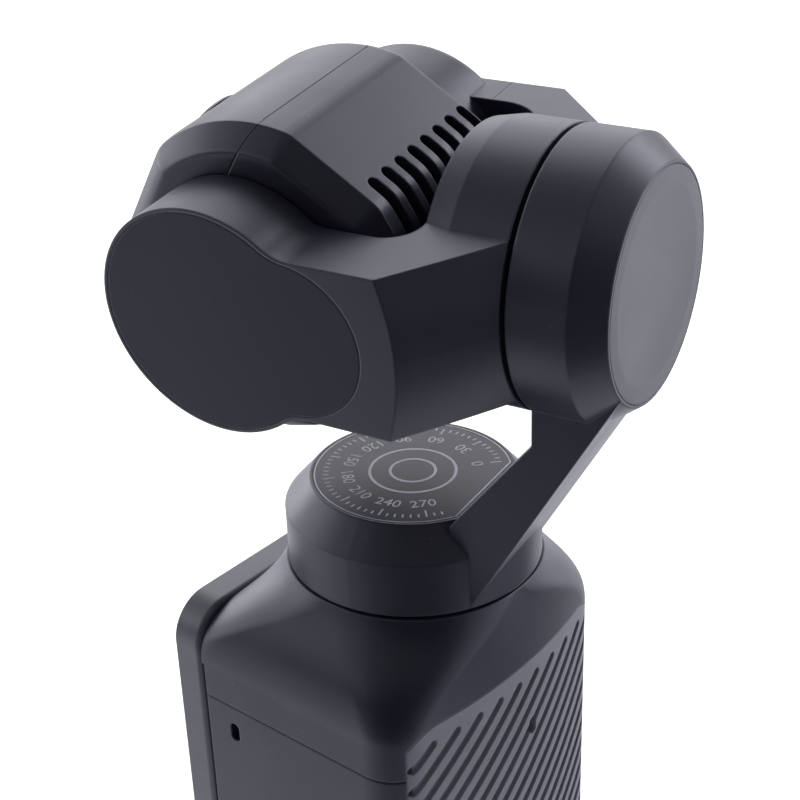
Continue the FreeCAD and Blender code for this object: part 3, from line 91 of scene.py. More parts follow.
def spread(nodes, links, value, low, high, fromLow=0.3, fromHigh=0.7):
    ranged = nodes.new("ShaderNodeMapRange")
    ranged.inputs["From Min"].default_value = fromLow
    ranged.inputs["From Max"].default_value = fromHigh
    ranged.inputs["To Min"].default_value = low
    ranged.inputs["To Max"].default_value = high
    links.new(value, ranged.inputs["Value"])
    return ranged.outputs["Result"]


def mixColours(nodes, links, factor, first, second):
    mix = nodes.new("ShaderNodeMix")
    mix.data_type = "RGBA"
    mix.inputs["A"].default_value = (*first, 1)
    mix.inputs["B"].default_value = (*second, 1)
    links.new(factor, mix.inputs["Factor"])
    return mix.outputs["Result"]


def layerOver(nodes, links, factor, below, colour):
    layer = nodes.new("ShaderNodeMix")
    layer.data_type = "RGBA"
    layer.inputs["B"].default_value = colour
    links.new(below, layer.inputs["A"])
    links.new(factor, layer.inputs["Factor"])
    return layer.outputs["Result"]


def distanceAlong(nodes, links, place, direction):
    dot = nodes.new("ShaderNodeVectorMath")
    dot.operation = "DOT_PRODUCT"
    dot.inputs[1].default_value = direction
    links.new(place, dot.inputs[0])
    return dot.outputs["Value"]


def bumpFrom(nodes, links, height, distance, strength):
    bump = nodes.new("ShaderNodeBump")
    bump.inputs["Distance"].default_value = distance
    bump.inputs["Strength"].default_value = strength
    links.new(height, bump.inputs["Height"])
    return bump.outputs["Normal"]


def edgeOf(nodes, links, radius):
    # A normal that rounds sharp edges, and a value that is one on flat faces and falls at an edge
    bevel = nodes.new("ShaderNodeBevel")
    bevel.samples = edgeSamples
    bevel.inputs["Radius"].default_value = radius
    face = nodes.new("ShaderNodeNewGeometry")
    dot = nodes.new("ShaderNodeVectorMath")
    dot.operation = "DOT_PRODUCT"
    links.new(bevel.outputs["Normal"], dot.inputs[0])
    links.new(face.outputs["Normal"], dot.inputs[1])
    return bevel.outputs["Normal"], dot.outputs["Value"]


# Moulded plastics: a fine spark-eroded grain, slow changes of gloss from handling, a painted highlight along
# sharp edges, and dust

blueSheen = (0.88, 0.895, 1.0, 1)
softEdge = 0.28 * mm
plasticWearAndHighlight = {"cloud": 14, "grainStrength": 0.6,
               "speck": 0.55, "speckDetail": 1, "speckRough": 0.3,
               "dustFrom": 0.80, "dustTo": 0.85, "dustColour": (0.16, 0.16, 0.165, 1),
               "edgeHighlightGain": 2.2, "edgeHighlightShare": 0.8, "edgeHighlightFrom": 0.86, "edgeHighlightTo": 0.995,
               "seamColour": (0.004, 0.004, 0.005, 1), "seamSpecular": 0.05}
gimbalLooks = {"colour": (0.0205, 0.0215, 0.035), "paler": (0.0265, 0.0275, 0.042), "rough": (0.34, 0.44),
               "grain": 0.12, "depth": 0.008, "dust": 0.35}
# A seam is a frame, and the seam's place along that frame's Y axis in millimetres
plastics = {
    "shellPlastic": {"colour": (0.0205, 0.0215, 0.035), "paler": (0.0255, 0.0265, 0.041),
                     "rough": (0.36, 0.46), "grain": 0.14, "depth": 0.010, "dust": 0.35},
    "gimbalPlastic": gimbalLooks,
    "headPlastic": {**gimbalLooks, "seam": (tiltFrame, -6.16)},
    "drumPlastic": {**gimbalLooks, "seam": (rollFrame, 1.7)},
    "coverPlastic": {"colour": (0.019, 0.019, 0.033), "paler": (0.024, 0.024, 0.039), "rough": (0.50, 0.58),
                     "grain": 0.10, "depth": 0.008, "dust": 0.25, "specular": 0.36},
    "capPlastic": {"colour": (0.034, 0.034, 0.045), "paler": (0.041, 0.041, 0.053), "rough": (0.34, 0.42),
                   "grain": 0.10, "depth": 0.006, "dust": 0.2},
    "fasciaPlastic": {"colour": (0.018, 0.018, 0.024), "paler": (0.022, 0.022, 0.029), "rough": (0.40, 0.5),
                      "grain": 0.12, "depth": 0.008, "dust": 0.2},
    "buttonPlastic": {"colour": (0.026, 0.026, 0.033), "paler": (0.033, 0.033, 0.041), "rough": (0.34, 0.42),
                      "grain": 0.10, "depth": 0.006, "dust": 0.1},
    "innerPlastic": {"colour": (0.060, 0.060, 0.064), "paler": (0.075, 0.075, 0.08), "rough": (0.5, 0.6),
                     "grain": 0.2, "depth": 0.012, "dust": 0.1},
}

seamHalf = 0.07 * mm
seamCore = 0.3


def seamLine(nodes, links, place, seamFrame, forward):
    # One on the plane where two mouldings meet, nought beside it
    across = (seamFrame.to_3x3() @ Vector((0, 1, 0))).normalized()
    start = seamFrame @ Vector((0, forward * mm, 0))
    away = nodes.new("ShaderNodeMath")
    away.operation = "SUBTRACT"
    away.inputs[1].default_value = across.dot(start)
    links.new(distanceAlong(nodes, links, place, across), away.inputs[0])
    size = nodes.new("ShaderNodeMath")
    size.operation = "ABSOLUTE"
    links.new(away.outputs[0], size.inputs[0])
    return spread(nodes, links, size.outputs[0], 1, 0, seamHalf * seamCore, seamHalf)


# The head's near end: its round edge is shaded as one straight bevel with a crisp crease

bevelBand = {"start": 9.8, "full": 9.96, "crease": 10.55, "creased": 10.75, "fade": 12.42, "end": 12.53,
             "lean": 46}  # millimetres along the tilt axis, and degrees


def vectorNode(nodes, links, operation, first, second=None, scale=None):
    made = nodes.new("ShaderNodeVectorMath")
    made.operation = operation
    links.new(first, made.inputs[0])
    if second is not None:
        links.new(second, made.inputs[1])
    if scale is not None and isinstance(scale, float):
        made.inputs["Scale"].default_value = scale
    elif scale is not None:
        links.new(scale, made.inputs["Scale"])
    return made.outputs["Value" if operation in ("DOT_PRODUCT", "LENGTH") else "Vector"]


def mixVectors(nodes, links, factor, first, second):
    mix = nodes.new("ShaderNodeMix")
    mix.data_type = "VECTOR"
    links.new(factor, mix.inputs["Factor"])
    links.new(first, [socket for socket in mix.inputs if socket.identifier == "A_Vector"][0])
    links.new(second, [socket for socket in mix.inputs if socket.identifier == "B_Vector"][0])
    return [socket for socket in mix.outputs if socket.identifier == "Result_Vector"][0]


def bevelNormal(nodes, links, place, plain):
    axis = (tiltFrame.to_3x3() @ Vector((1, 0, 0))).normalized()
    turned = nodes.new("ShaderNodeVectorTransform")
    turned.vector_type = "VECTOR"
    turned.convert_from = "OBJECT"
    turned.convert_to = "WORLD"
    turned.inputs["Vector"].default_value = axis
    axisNow = turned.outputs["Vector"]
    face = nodes.new("ShaderNodeNewGeometry").outputs["Normal"]
    part = vectorNode(nodes, links, "DOT_PRODUCT", face, axisNow)
    along = vectorNode(nodes, links, "SCALE", axisNow, scale=part)
    outward = vectorNode(nodes, links, "NORMALIZE", vectorNode(nodes, links, "SUBTRACT", face, along))
    lean = math.radians(bevelBand["lean"])
    sideways = vectorNode(nodes, links, "SCALE", outward, scale=math.cos(lean))
    endways = vectorNode(nodes, links, "SCALE", axisNow, scale=math.sin(lean))
    leaning = vectorNode(nodes, links, "ADD", sideways, endways)
    reach = distanceAlong(nodes, links, place, axis)
    start = axis.dot(tiltFrame.translation)
    limits = {name: start + value * mm for name, value in bevelBand.items() if name != "lean"}
    creased = spread(nodes, links, reach, 0, 1, limits["crease"], limits["creased"])
    inside = spread(nodes, links, reach, 0, 1, limits["start"], limits["full"])
    before = spread(nodes, links, reach, 1, 0, limits["fade"], limits["end"])
    both = nodes.new("ShaderNodeMath")
    both.operation = "MULTIPLY"
    links.new(inside, both.inputs[0])
    links.new(before, both.inputs[1])
    band = mixVectors(nodes, links, creased, outward, leaning)
    return mixVectors(nodes, links, both.outputs[0], plain, band)


def plastic(name):
    looks = plastics[name]
    material, nodes, links = newMaterial(name)
    shader = shaderOf(nodes)
    place = objectPlace(nodes)
    cloud = noiseOn(nodes, links, place, 1 / (plasticWearAndHighlight["cloud"] * mm))
    grain = noiseOn(nodes, links, place, 1 / (looks["grain"] * mm), grainDetail)
    speck = noiseOn(nodes, links, place, 1 / (plasticWearAndHighlight["speck"] * mm), plasticWearAndHighlight["speckDetail"],
                    plasticWearAndHighlight["speckRough"])
    shown = mixColours(nodes, links, spread(nodes, links, cloud, 0, 1), looks["colour"], looks["paler"])
    dust = spread(nodes, links, speck, 0, looks["dust"], plasticWearAndHighlight["dustFrom"], plasticWearAndHighlight["dustTo"])
    shown = layerOver(nodes, links, dust, shown, plasticWearAndHighlight["dustColour"])
    rounded, flatness = edgeOf(nodes, links, softEdge)
    # Painted highlight: the base colour turns paler along sharp edges, as if they caught the light
    edgeHighlight = spread(nodes, links, flatness, plasticWearAndHighlight["edgeHighlightShare"], 0, plasticWearAndHighlight["edgeHighlightFrom"],
                 plasticWearAndHighlight["edgeHighlightTo"])
    edgeHighlightColour = [part * plasticWearAndHighlight["edgeHighlightGain"] for part in looks["paler"]]
    shown = layerOver(nodes, links, edgeHighlight, shown, (*edgeHighlightColour, 1))
    bump = bumpFrom(nodes, links, grain, looks["depth"] * mm, plasticWearAndHighlight["grainStrength"])
    if name == "headPlastic":
        rounded = bevelNormal(nodes, links, place, rounded)
    links.new(rounded, bump.node.inputs["Normal"])
    if "seam" in looks:
        line = seamLine(nodes, links, place, *looks["seam"])
        shown = layerOver(nodes, links, line, shown, plasticWearAndHighlight["seamColour"])
        links.new(spread(nodes, links, line, plainSpecular, plasticWearAndHighlight["seamSpecular"], 0, 1),
                  shader.inputs["Specular IOR Level"])
    else:
        shader.inputs["Specular IOR Level"].default_value = looks.get("specular", plainSpecular)
    links.new(shown, shader.inputs["Base Color"])
    links.new(spread(nodes, links, cloud, *looks["rough"]), shader.inputs["Roughness"])
    links.new(bump, shader.inputs["Normal"])
    shader.inputs["Specular Tint"].default_value = blueSheen
    return material


# Soft rubber of the grip: greyer, dull, with a faint cloudy bloom

gripLooks = {"colour": (0.215, 0.215, 0.245), "bloom": (0.255, 0.255, 0.290), "rough": (0.46, 0.58),
             "cloud": 9, "grain": 0.16, "depth": 0.012, "strength": 0.6, "specular": 0.4}


def gripRubber():
    material, nodes, links = newMaterial("gripRubber")
    shader = shaderOf(nodes)
    place = objectPlace(nodes)
    cloud = noiseOn(nodes, links, place, 1 / (gripLooks["cloud"] * mm), cloudDetail)
    grain = noiseOn(nodes, links, place, 1 / (gripLooks["grain"] * mm), grainDetail)
    colour = mixColours(nodes, links, spread(nodes, links, cloud, 0, 1), gripLooks["colour"],
                        gripLooks["bloom"])
    links.new(colour, shader.inputs["Base Color"])
    links.new(spread(nodes, links, cloud, *gripLooks["rough"]), shader.inputs["Roughness"])
    rounded = edgeOf(nodes, links, softEdge)[0]
    bump = bumpFrom(nodes, links, grain, gripLooks["depth"] * mm, gripLooks["strength"])
    links.new(rounded, bump.node.inputs["Normal"])
    links.new(bump, shader.inputs["Normal"])
    shader.inputs["Specular IOR Level"].default_value = gripLooks["specular"]
    shader.inputs["Specular Tint"].default_value = blueSheen
    return material


# Glossy plates, prints and small parts, with faint smears

smearLooks = {"size": 5, "gain": 1.3, "lift": 0.001, "depth": 0.004, "strength": 0.3, "coatRough": 0.05}
glosses = {
    "labelGloss": {"colour": (0.012, 0.012, 0.018), "rough": (0.26, 0.32), "coat": 0.0, "specular": 0.3},
    "labelPrint": {"colour": (0.50, 0.50, 0.56), "rough": (0.35, 0.5), "coat": 0.0},
    # The label's edge line: a pale colour painted as a highlight on its cut edge
    "labelEdgeHighlight": {"colour": (0.42, 0.42, 0.46), "rough": (0.2, 0.3), "coat": 0.3},
    "recordRed": {"colour": (0.30, 0.020, 0.016), "rough": (0.3, 0.4), "coat": 0.0},
    "recessShade": {"colour": (0.004, 0.004, 0.004), "rough": (0.5, 0.6), "coat": 0.0},
    "screenEdge": {"colour": (0.105, 0.105, 0.126), "rough": (0.30, 0.38), "coat": 0.0},
    "displayOff": {"colour": (0.004, 0.004, 0.006), "rough": (0.1, 0.14), "coat": 0.0},
    "lightPipe": {"colour": (0.5, 0.55, 0.5), "rough": (0.2, 0.3), "coat": 0.3},
}


def gloss(name):
    looks = glosses[name]
    material, nodes, links = newMaterial(name)
    shader = shaderOf(nodes)
    place = objectPlace(nodes)
    smear = noiseOn(nodes, links, place, 1 / (smearLooks["size"] * mm), cloudDetail)
    colour = mixColours(nodes, links, spread(nodes, links, smear, 0, 1), looks["colour"],
                        tuple(part * smearLooks["gain"] + smearLooks["lift"] for part in looks["colour"]))
    links.new(colour, shader.inputs["Base Color"])
    links.new(spread(nodes, links, smear, *looks["rough"]), shader.inputs["Roughness"])
    links.new(bumpFrom(nodes, links, smear, smearLooks["depth"] * mm, smearLooks["strength"]),
              shader.inputs["Normal"])
    shader.inputs["Coat Weight"].default_value = looks["coat"]
    shader.inputs["Coat Roughness"].default_value = smearLooks["coatRough"]
    shader.inputs["Specular IOR Level"].default_value = looks.get("specular", plainSpecular)
    return material


# Metals of the motors, bearings, screws and lens ring

metalGrain = {"cloud": 3, "cloudShade": 0.8, "grain": 0.08, "depth": 0.004, "strength": 0.5}
metals = {
    "turnedSteel": {"colour": (0.50, 0.50, 0.52), "rough": (0.25, 0.38)},
    "rotorAluminium": {"colour": (0.55, 0.56, 0.58), "rough": (0.3, 0.42)},
    "windingCopper": {"colour": (0.48, 0.24, 0.11), "rough": (0.3, 0.45)},
    "lensRingBlack": {"colour": (0.035, 0.035, 0.04), "rough": (0.24, 0.34)},
    "cellFoil": {"colour": (0.40, 0.41, 0.43), "rough": (0.35, 0.5)},
}


def metal(name):
    looks = metals[name]
    material, nodes, links = newMaterial(name)
    shader = shaderOf(nodes)
    place = objectPlace(nodes)
    cloud = noiseOn(nodes, links, place, 1 / (metalGrain["cloud"] * mm), cloudDetail)
    grain = noiseOn(nodes, links, place, 1 / (metalGrain["grain"] * mm), grainDetail)
    colour = mixColours(nodes, links, spread(nodes, links, cloud, 0, 1), looks["colour"],
                        tuple(part * metalGrain["cloudShade"] for part in looks["colour"]))
    links.new(colour, shader.inputs["Base Color"])
    links.new(spread(nodes, links, grain, *looks["rough"]), shader.inputs["Roughness"])
    links.new(bumpFrom(nodes, links, grain, metalGrain["depth"] * mm, metalGrain["strength"]),
              shader.inputs["Normal"])
    shader.inputs["Metallic"].default_value = 1.0
    return material


# Glass: coated lenses and the screen's dark cover

fingerprint = {"size": 6, "shade": 0.92, "rougher": 0.04}
coatTint = (0.75, 0.85, 1.0, 1)
glasses = {
    "lensGlass": {"colour": (0.72, 0.78, 0.95), "rough": 0.02, "transmission": 1.0, "ior": 1.6, "coat": 0.4},
    "screenGlass": {"colour": (0.006, 0.006, 0.008), "rough": 0.05, "transmission": 0.0, "ior": 1.38,
                    "coat": 0.0},
}


def glass(name):
    looks = glasses[name]
    material, nodes, links = newMaterial(name)
    shader = shaderOf(nodes)
    place = objectPlace(nodes)
    smear = noiseOn(nodes, links, place, 1 / (fingerprint["size"] * mm), cloudDetail)
    colour = mixColours(nodes, links, spread(nodes, links, smear, 0, 1), looks["colour"],
                        tuple(part * fingerprint["shade"] for part in looks["colour"]))
    links.new(colour, shader.inputs["Base Color"])
    links.new(spread(nodes, links, smear, looks["rough"], looks["rough"] + fingerprint["rougher"]),
              shader.inputs["Roughness"])
    shader.inputs["Transmission Weight"].default_value = looks["transmission"]
    shader.inputs["IOR"].default_value = looks["ior"]
    shader.inputs["Coat Weight"].default_value = looks["coat"]
    shader.inputs["Coat Tint"].default_value = coatTint
    return material


# Board of the camera's electronics: paler patches between the darker traces

boardLooks = {"trace": 2.2, "base": (0.01, 0.06, 0.035), "paler": (0.02, 0.11, 0.06), "from": 0.2, "to": 0.6,
              "depth": 0.02, "strength": 0.4, "rough": 0.35}


def boardMaterial():
    material, nodes, links = newMaterial("circuitBoard")
    shader = shaderOf(nodes)
    place = objectPlace(nodes)
    traces = nodes.new("ShaderNodeTexVoronoi")
    traces.inputs["Scale"].default_value = 1 / (boardLooks["trace"] * mm)
    links.new(place, traces.inputs["Vector"])
    away = traces.outputs["Distance"]
    patches = spread(nodes, links, away, 0, 1, boardLooks["from"], boardLooks["to"])
    links.new(mixColours(nodes, links, patches, boardLooks["base"], boardLooks["paler"]),
              shader.inputs["Base Color"])
    links.new(bumpFrom(nodes, links, away, boardLooks["depth"] * mm, boardLooks["strength"]),
              shader.inputs["Normal"])
    shader.inputs["Roughness"].default_value = boardLooks["rough"]
    return material


finishes = {name: plastic(name) for name in plastics}
finishes.update({name: gloss(name) for name in glosses})
finishes.update({name: metal(name) for name in metals})
finishes.update({name: glass(name) for name in glasses})
finishes["gripRubber"] = gripRubber()
finishes["circuitBoard"] = boardMaterial()
print("materials:", len(finishes))

slotFinishes = {
    "shell_plastic": "shellPlastic", "gimbal_plastic": "gimbalPlastic", "cover_plastic": "coverPlastic",
    "cap_plastic": "capPlastic", "grip_rubber": "gripRubber", "label_gloss": "labelGloss",
    "fascia_plastic": "fasciaPlastic", "button_plastic": "buttonPlastic", "screen_plastic": "screenEdge",
    "screen_glass": "screenGlass", "display": "displayOff", "lens_metal": "lensRingBlack",
    "lens_glass": "lensGlass", "inner_plastic": "innerPlastic", "steel": "turnedSteel",
    "rotor_metal": "rotorAluminium", "winding": "windingCopper", "board": "circuitBoard",
    "battery": "cellFoil", "light": "lightPipe",
}

# Mouldings whose seam is drawn by a finish of their own
ownFinishes = {"camera_rear_housing": "headPlastic", "camera_front_housing": "headPlastic",
               "far_hub_housing": "drumPlastic"}


def dressNode(name, slotName):
    node = cadNodes[name]
    finish = finishes[ownFinishes.get(name, slotFinishes[slotName])]
    if not node.data.materials:
        node.data.materials.append(finish)
    for index in range(len(node.data.materials)):
        node.data.materials[index] = finish


for entry in frame["record"]["subparts"]:
    dressNode(entry["node"], entry["material_slot"])
print("finishes on the nodes")


# Small pieces that the frame leaves plain

mergeDistance = 0.0005 * mm
barRounding = {"share": 0.9, "segments": 3}
pickSlack = 0.01  # share of a half width by which a corner may miss its place
domeFaces = {"around": 20, "rings": 12, "smoothBelow": 40}
letterSteps = 4


def beginEdit():
    bpy.ops.object.mode_set(mode="EDIT")
    bpy.ops.mesh.select_all(action="SELECT")


def endEdit():
    bpy.ops.mesh.select_all(action="SELECT")
    bpy.ops.mesh.remove_doubles(threshold=mergeDistance)
    bpy.ops.mesh.normals_make_consistent(inside=False)
    bpy.ops.object.mode_set(mode="OBJECT")
    return bpy.context.object


def raiseFlat(depth):
    # The flat shape being edited becomes a closed plate
    bpy.ops.mesh.select_all(action="SELECT")
    bpy.ops.mesh.extrude_region_move(TRANSFORM_OT_translate={"value": (0, 0, depth)})
    return endEdit()


def roundCorners(half):
    bpy.ops.mesh.bevel(offset=half * barRounding["share"], segments=barRounding["segments"],
                       affect="VERTICES")


def pickCorners(piece, chosen):
    # Selects the corners that the test chooses, with the edges and faces between them
    bpy.ops.object.mode_set(mode="OBJECT")
    corners = piece.data.vertices
    for corner in corners:
        corner.select = chosen(corner.co)
    for part in (*piece.data.edges, *piece.data.polygons):
        part.select = all(corners[index].select for index in part.vertices)
    bpy.ops.object.mode_set(mode="EDIT")


def modelBar(length, half, depth):
    bpy.ops.object.select_all(action="DESELECT")
    bpy.ops.mesh.primitive_plane_add(size=1, location=(0, 0, 0))
    beginEdit()
    bpy.ops.transform.resize(value=(length, half * 2, 1))
    roundCorners(half)
    return raiseFlat(depth)


def modelCross(length, half, depth):
    # A square whose four sides are drawn out into arms: one outline, so every run gives the same mesh
    bpy.ops.object.select_all(action="DESELECT")
    bpy.ops.mesh.primitive_plane_add(size=half * 2, location=(0, 0, 0))
    cross = bpy.context.object
    beginEdit()
    arm = length / 2 - half
    slack = half * pickSlack
    for x, y in ((1, 0), (0, 1), (-1, 0), (0, -1)):
        pickCorners(cross, lambda place: place.x * x + place.y * y > half - slack
                    and abs(place.x * y) + abs(place.y * x) < half + slack)
        bpy.ops.mesh.extrude_edges_move(TRANSFORM_OT_translate={"value": (x * arm, y * arm, 0)})
    pickCorners(cross, lambda place: max(abs(place.x), abs(place.y)) > length / 2 - slack)
    roundCorners(half)
    return raiseFlat(depth)


def modelRing(radius, half, depth, sides, chord=None):
    bpy.ops.object.select_all(action="DESELECT")
    bpy.ops.mesh.primitive_circle_add(vertices=sides, radius=radius + half, fill_type="NGON",
                                      location=(0, 0, 0))
    beginEdit()
    if chord:
        bpy.ops.mesh.bisect(plane_co=(0, chord, 0), plane_no=(0, 1, 0), clear_outer=True)
        bpy.ops.mesh.select_all(action="SELECT")
    bpy.ops.mesh.inset(thickness=half * 2)
    bpy.ops.mesh.delete(type="FACE")
    return raiseFlat(depth)


def modelNumber(words, height, depth):
    bpy.ops.object.select_all(action="DESELECT")
    bpy.ops.object.text_add(location=(0, 0, 0))
    letters = bpy.context.object.data
    letters.body = words
    letters.size = height
    letters.extrude = depth / 2
    letters.align_x = "CENTER"
    letters.align_y = "CENTER"
    letters.resolution_u = letterSteps
    bpy.ops.object.convert(target="MESH")
    beginEdit()
    return endEdit()


def modelDome(radius, rise):
    bpy.ops.object.select_all(action="DESELECT")
    bpy.ops.mesh.primitive_uv_sphere_add(segments=domeFaces["around"], ring_count=domeFaces["rings"],
                                         radius=radius, location=(0, 0, 0))
    beginEdit()
    bpy.ops.mesh.bisect(plane_co=(0, 0, 0), plane_no=(0, 0, -1), clear_outer=True, use_fill=True)
    bpy.ops.mesh.select_all(action="SELECT")
    bpy.ops.transform.resize(value=(1, 1, rise / radius))
    return endEdit()


def copyAt(pattern, place):
    made = pattern.copy()
    made.data = pattern.data.copy()
    made.matrix_world = place
    bpy.context.scene.collection.objects.link(made)
    return made


def joinParts(name, parts):
    bpy.context.view_layer.update()
    bpy.ops.object.select_all(action="DESELECT")
    for part in parts:
        part.select_set(True)
    bpy.context.view_layer.objects.active = parts[0]
    bpy.ops.object.transform_apply(location=True, rotation=True, scale=True)
    if len(parts) > 1:
        bpy.ops.object.join()
    joined = bpy.context.object
    joined.name = name
    return joined


def finishPiece(piece, finish, body, smooth=False):
    piece.data.materials.clear()
    piece.data.materials.append(finishes[finish])
    if smooth:
        bpy.ops.object.shade_smooth_by_angle(angle=math.radians(domeFaces["smoothBelow"]))
    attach(piece, body)


# The label disc's angle scale: ticks every five degrees, plain numbers every thirty, and two pale rings

labelScale = {"first": 128, "last": 412, "step": 5, "major": 6, "degrees": 30, "outer": 8.75, "short": 0.55,
              "tall": 1.15, "half": 0.085, "numbers": 6.4, "height": 1.7, "bigRing": 4.2, "smallRing": 2.2,
              "ringHalf": 0.14, "ringSides": 72, "chord": 7.7, "depth": 0.012}


def labelPlace():
    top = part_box("label_plate")[1][2]
    return Matrix.Translation((0, 0, top)) @ Matrix.Rotation(panTurn, 4, "Z")


def addLabelScale():
    flat = labelPlace()
    depth = labelScale["depth"] * mm
    half = labelScale["half"] * mm
    bars = {name: modelBar(labelScale[name] * mm, half, depth) for name in ("short", "tall")}
    parts = []
    count = (labelScale["last"] - labelScale["first"]) // labelScale["step"]
    for number in range(count + 1):
        angle = math.radians(labelScale["first"] + number * labelScale["step"])
        if labelScale["outer"] * math.sin(angle) > labelScale["chord"]:
            continue  # past the label's chord
        size = "short" if number % labelScale["major"] else "tall"
        turned = flat @ Matrix.Rotation(angle, 4, "Z")
        middle = (labelScale["outer"] - labelScale[size] / 2) * mm
        parts.append(copyAt(bars[size], turned @ Matrix.Translation((middle, 0, 0))))
        if size == "tall":
            shown = str(number // labelScale["major"] * labelScale["degrees"])
            made = modelNumber(shown, labelScale["height"] * mm, depth)
            made.matrix_world = (turned @ Matrix.Translation((labelScale["numbers"] * mm, 0, depth / 2))
                                 @ Matrix.Rotation(math.pi / 2, 4, "Z"))
            parts.append(made)
    for name in ("bigRing", "smallRing"):
        ring = modelRing(labelScale[name] * mm, labelScale["ringHalf"] * mm, depth, labelScale["ringSides"])
        ring.matrix_world = flat
        parts.append(ring)
    for bar in bars.values():
        bpy.data.objects.remove(bar)
    finishPiece(joinParts("labelScale", parts), "labelPrint", "pan_body")


# A painted highlight on the label's cut edge: a fine pale line round the disc and along its chord

labelEdge = {"radius": 9.56, "half": 0.07, "chord": 7.88, "low": -0.02, "depth": 0.05, "sides": 120}


def addLabelEdge():
    edge = modelRing(labelEdge["radius"] * mm, labelEdge["half"] * mm, labelEdge["depth"] * mm,
                     labelEdge["sides"], labelEdge["chord"] * mm)
    edge.matrix_world = labelPlace() @ Matrix.Translation((0, 0, labelEdge["low"] * mm))
    finishPiece(joinParts("labelEdge", [edge]), "labelEdgeHighlight", "pan_body")


# Cross recesses of the two base screws, drawn as thin near-black plates: painted shade where the recesses
# lie

screwCross = {"spacing": 25.4, "length": 1.5, "half": 0.17, "low": 0.46, "depth": 0.1}


def addScrewCrosses():
    cross = modelCross(screwCross["length"] * mm, screwCross["half"] * mm, screwCross["depth"] * mm)
    parts = []
    for side in (-1, 1):
        seat = Matrix.Translation((side * screwCross["spacing"] / 2 * mm, 0, screwCross["low"] * mm))
        parts.append(copyAt(cross, seat))
    bpy.data.objects.remove(cross)
    finishPiece(joinParts("screwCrosses", parts), "recessShade", "handle")


# Four small domes on the joystick's cap, to feel its directions by

stickDomes = {"reach": 2.7, "radius": 0.42, "rise": 0.26, "sunk": 0.20}


def addStickDomes():
    low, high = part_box("joystick_cap")
    centre = Matrix.Translation(((low[0] + high[0]) / 2, low[1] + stickDomes["sunk"] * mm,
                                 (low[2] + high[2]) / 2))
    dome = modelDome(stickDomes["radius"] * mm, stickDomes["rise"] * mm)
    outward = Matrix.Rotation(math.pi / 2, 4, "X")
    parts = []
    for number in range(4):
        turned = Matrix.Rotation(math.pi / 2 * number, 4, "Y")
        reached = turned @ Matrix.Translation((stickDomes["reach"] * mm, 0, 0))
        parts.append(copyAt(dome, centre @ reached @ outward))
    bpy.data.objects.remove(dome)
    finishPiece(joinParts("stickDomes", parts), "buttonPlastic", "stick_cap", smooth=True)


# A red ring set in the record button's face

recordRing = {"radius": 2.3, "half": 0.16, "proud": 0.03, "depth": 0.08, "sides": 56}


def addRecordRing():
    low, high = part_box("record_button")
    ring = modelRing(recordRing["radius"] * mm, recordRing["half"] * mm, recordRing["depth"] * mm,
                     recordRing["sides"])
    place = ((low[0] + high[0]) / 2, low[1] + (recordRing["depth"] - recordRing["proud"]) * mm,
             (low[2] + high[2]) / 2)
    ring.matrix_world = Matrix.Translation(place) @ Matrix.Rotation(math.pi / 2, 4, "X")
    finishPiece(joinParts("recordRing", [ring]), "recordRed", "record_key")


addLabelScale()
addLabelEdge()
addScrewCrosses()
addStickDomes()
addRecordRing()
print("label scale, label edge, screw recesses, joystick domes and record ring")


# Camera at the photograph's viewpoint

cameraPlace = {"azimuth": 130.005, "elevation": 27.535, "roll": -1.97, "place": (0.1061, 0.08834, 0.18001),
               "lens": 73.958, "sensor": 36, "shiftX": -0.006226, "shiftY": 0.000725, "nearest": 0.005}


def addCamera():
    azimuth = math.radians(cameraPlace["azimuth"])
    elevation = math.radians(cameraPlace["elevation"])
    roll = math.radians(cameraPlace["roll"])
    back = Vector((math.sin(azimuth) * math.cos(elevation), -math.cos(azimuth) * math.cos(elevation),
                   math.sin(elevation)))
    level = (-back).cross(Vector((0, 0, 1))).normalized()
    upright = level.cross(-back)
    right = math.cos(roll) * level + math.sin(roll) * upright
    up = -math.sin(roll) * level + math.cos(roll) * upright
    camera = bpy.data.objects.new("camera", bpy.data.cameras.new("camera"))
    bpy.context.scene.collection.objects.link(camera)
    camera.matrix_world = (Matrix.Translation(cameraPlace["place"])
                           @ Matrix((right, up, back)).transposed().to_4x4())
    camera.data.lens = cameraPlace["lens"]
    camera.data.sensor_width = cameraPlace["sensor"]
    camera.data.shift_x = cameraPlace["shiftX"]
    camera.data.shift_y = cameraPlace["shiftY"]
    camera.data.clip_start = cameraPlace["nearest"]
    bpy.context.scene.camera = camera


# Studio: a white floor, a white world, six soft lamps, and dark flags that only reflections see

lamps = {
    "backLamp": {"place": (-0.75, -0.63, 0.60), "size": 0.8, "power": 2.6},
    "overheadLamp": {"place": (-0.32, -0.25, 0.80), "size": 0.5, "power": 1.0},
    "backLeftLamp": {"place": (-0.12, -0.80, 0.25), "size": 0.4, "power": 2.0},
    "backRightLamp": {"place": (-0.66, 0.18, 0.52), "size": 0.35, "power": 2.1},
    "leftLamp": {"place": (0.38, -0.68, 0.28), "size": 0.4, "power": 1.2},
    "rightLamp": {"place": (-0.59, 0.55, 0.08), "size": 0.4, "power": 2.4},
}
lampAim = (0, 0, 0.1)
worldLight = 0.18
coolLight = (0.945, 0.945, 1.0, 1)
floorLooks = {"size": 6.0, "seen": (0.92, 0.92, 0.80), "mirrored": (0.86, 0.86, 0.92), "rough": 0.9,
              "glow": 0.60, "farGlow": 0.88, "near": 0.30, "far": 1.50}
flagColour = (0.004, 0.004, 0.005, 1)
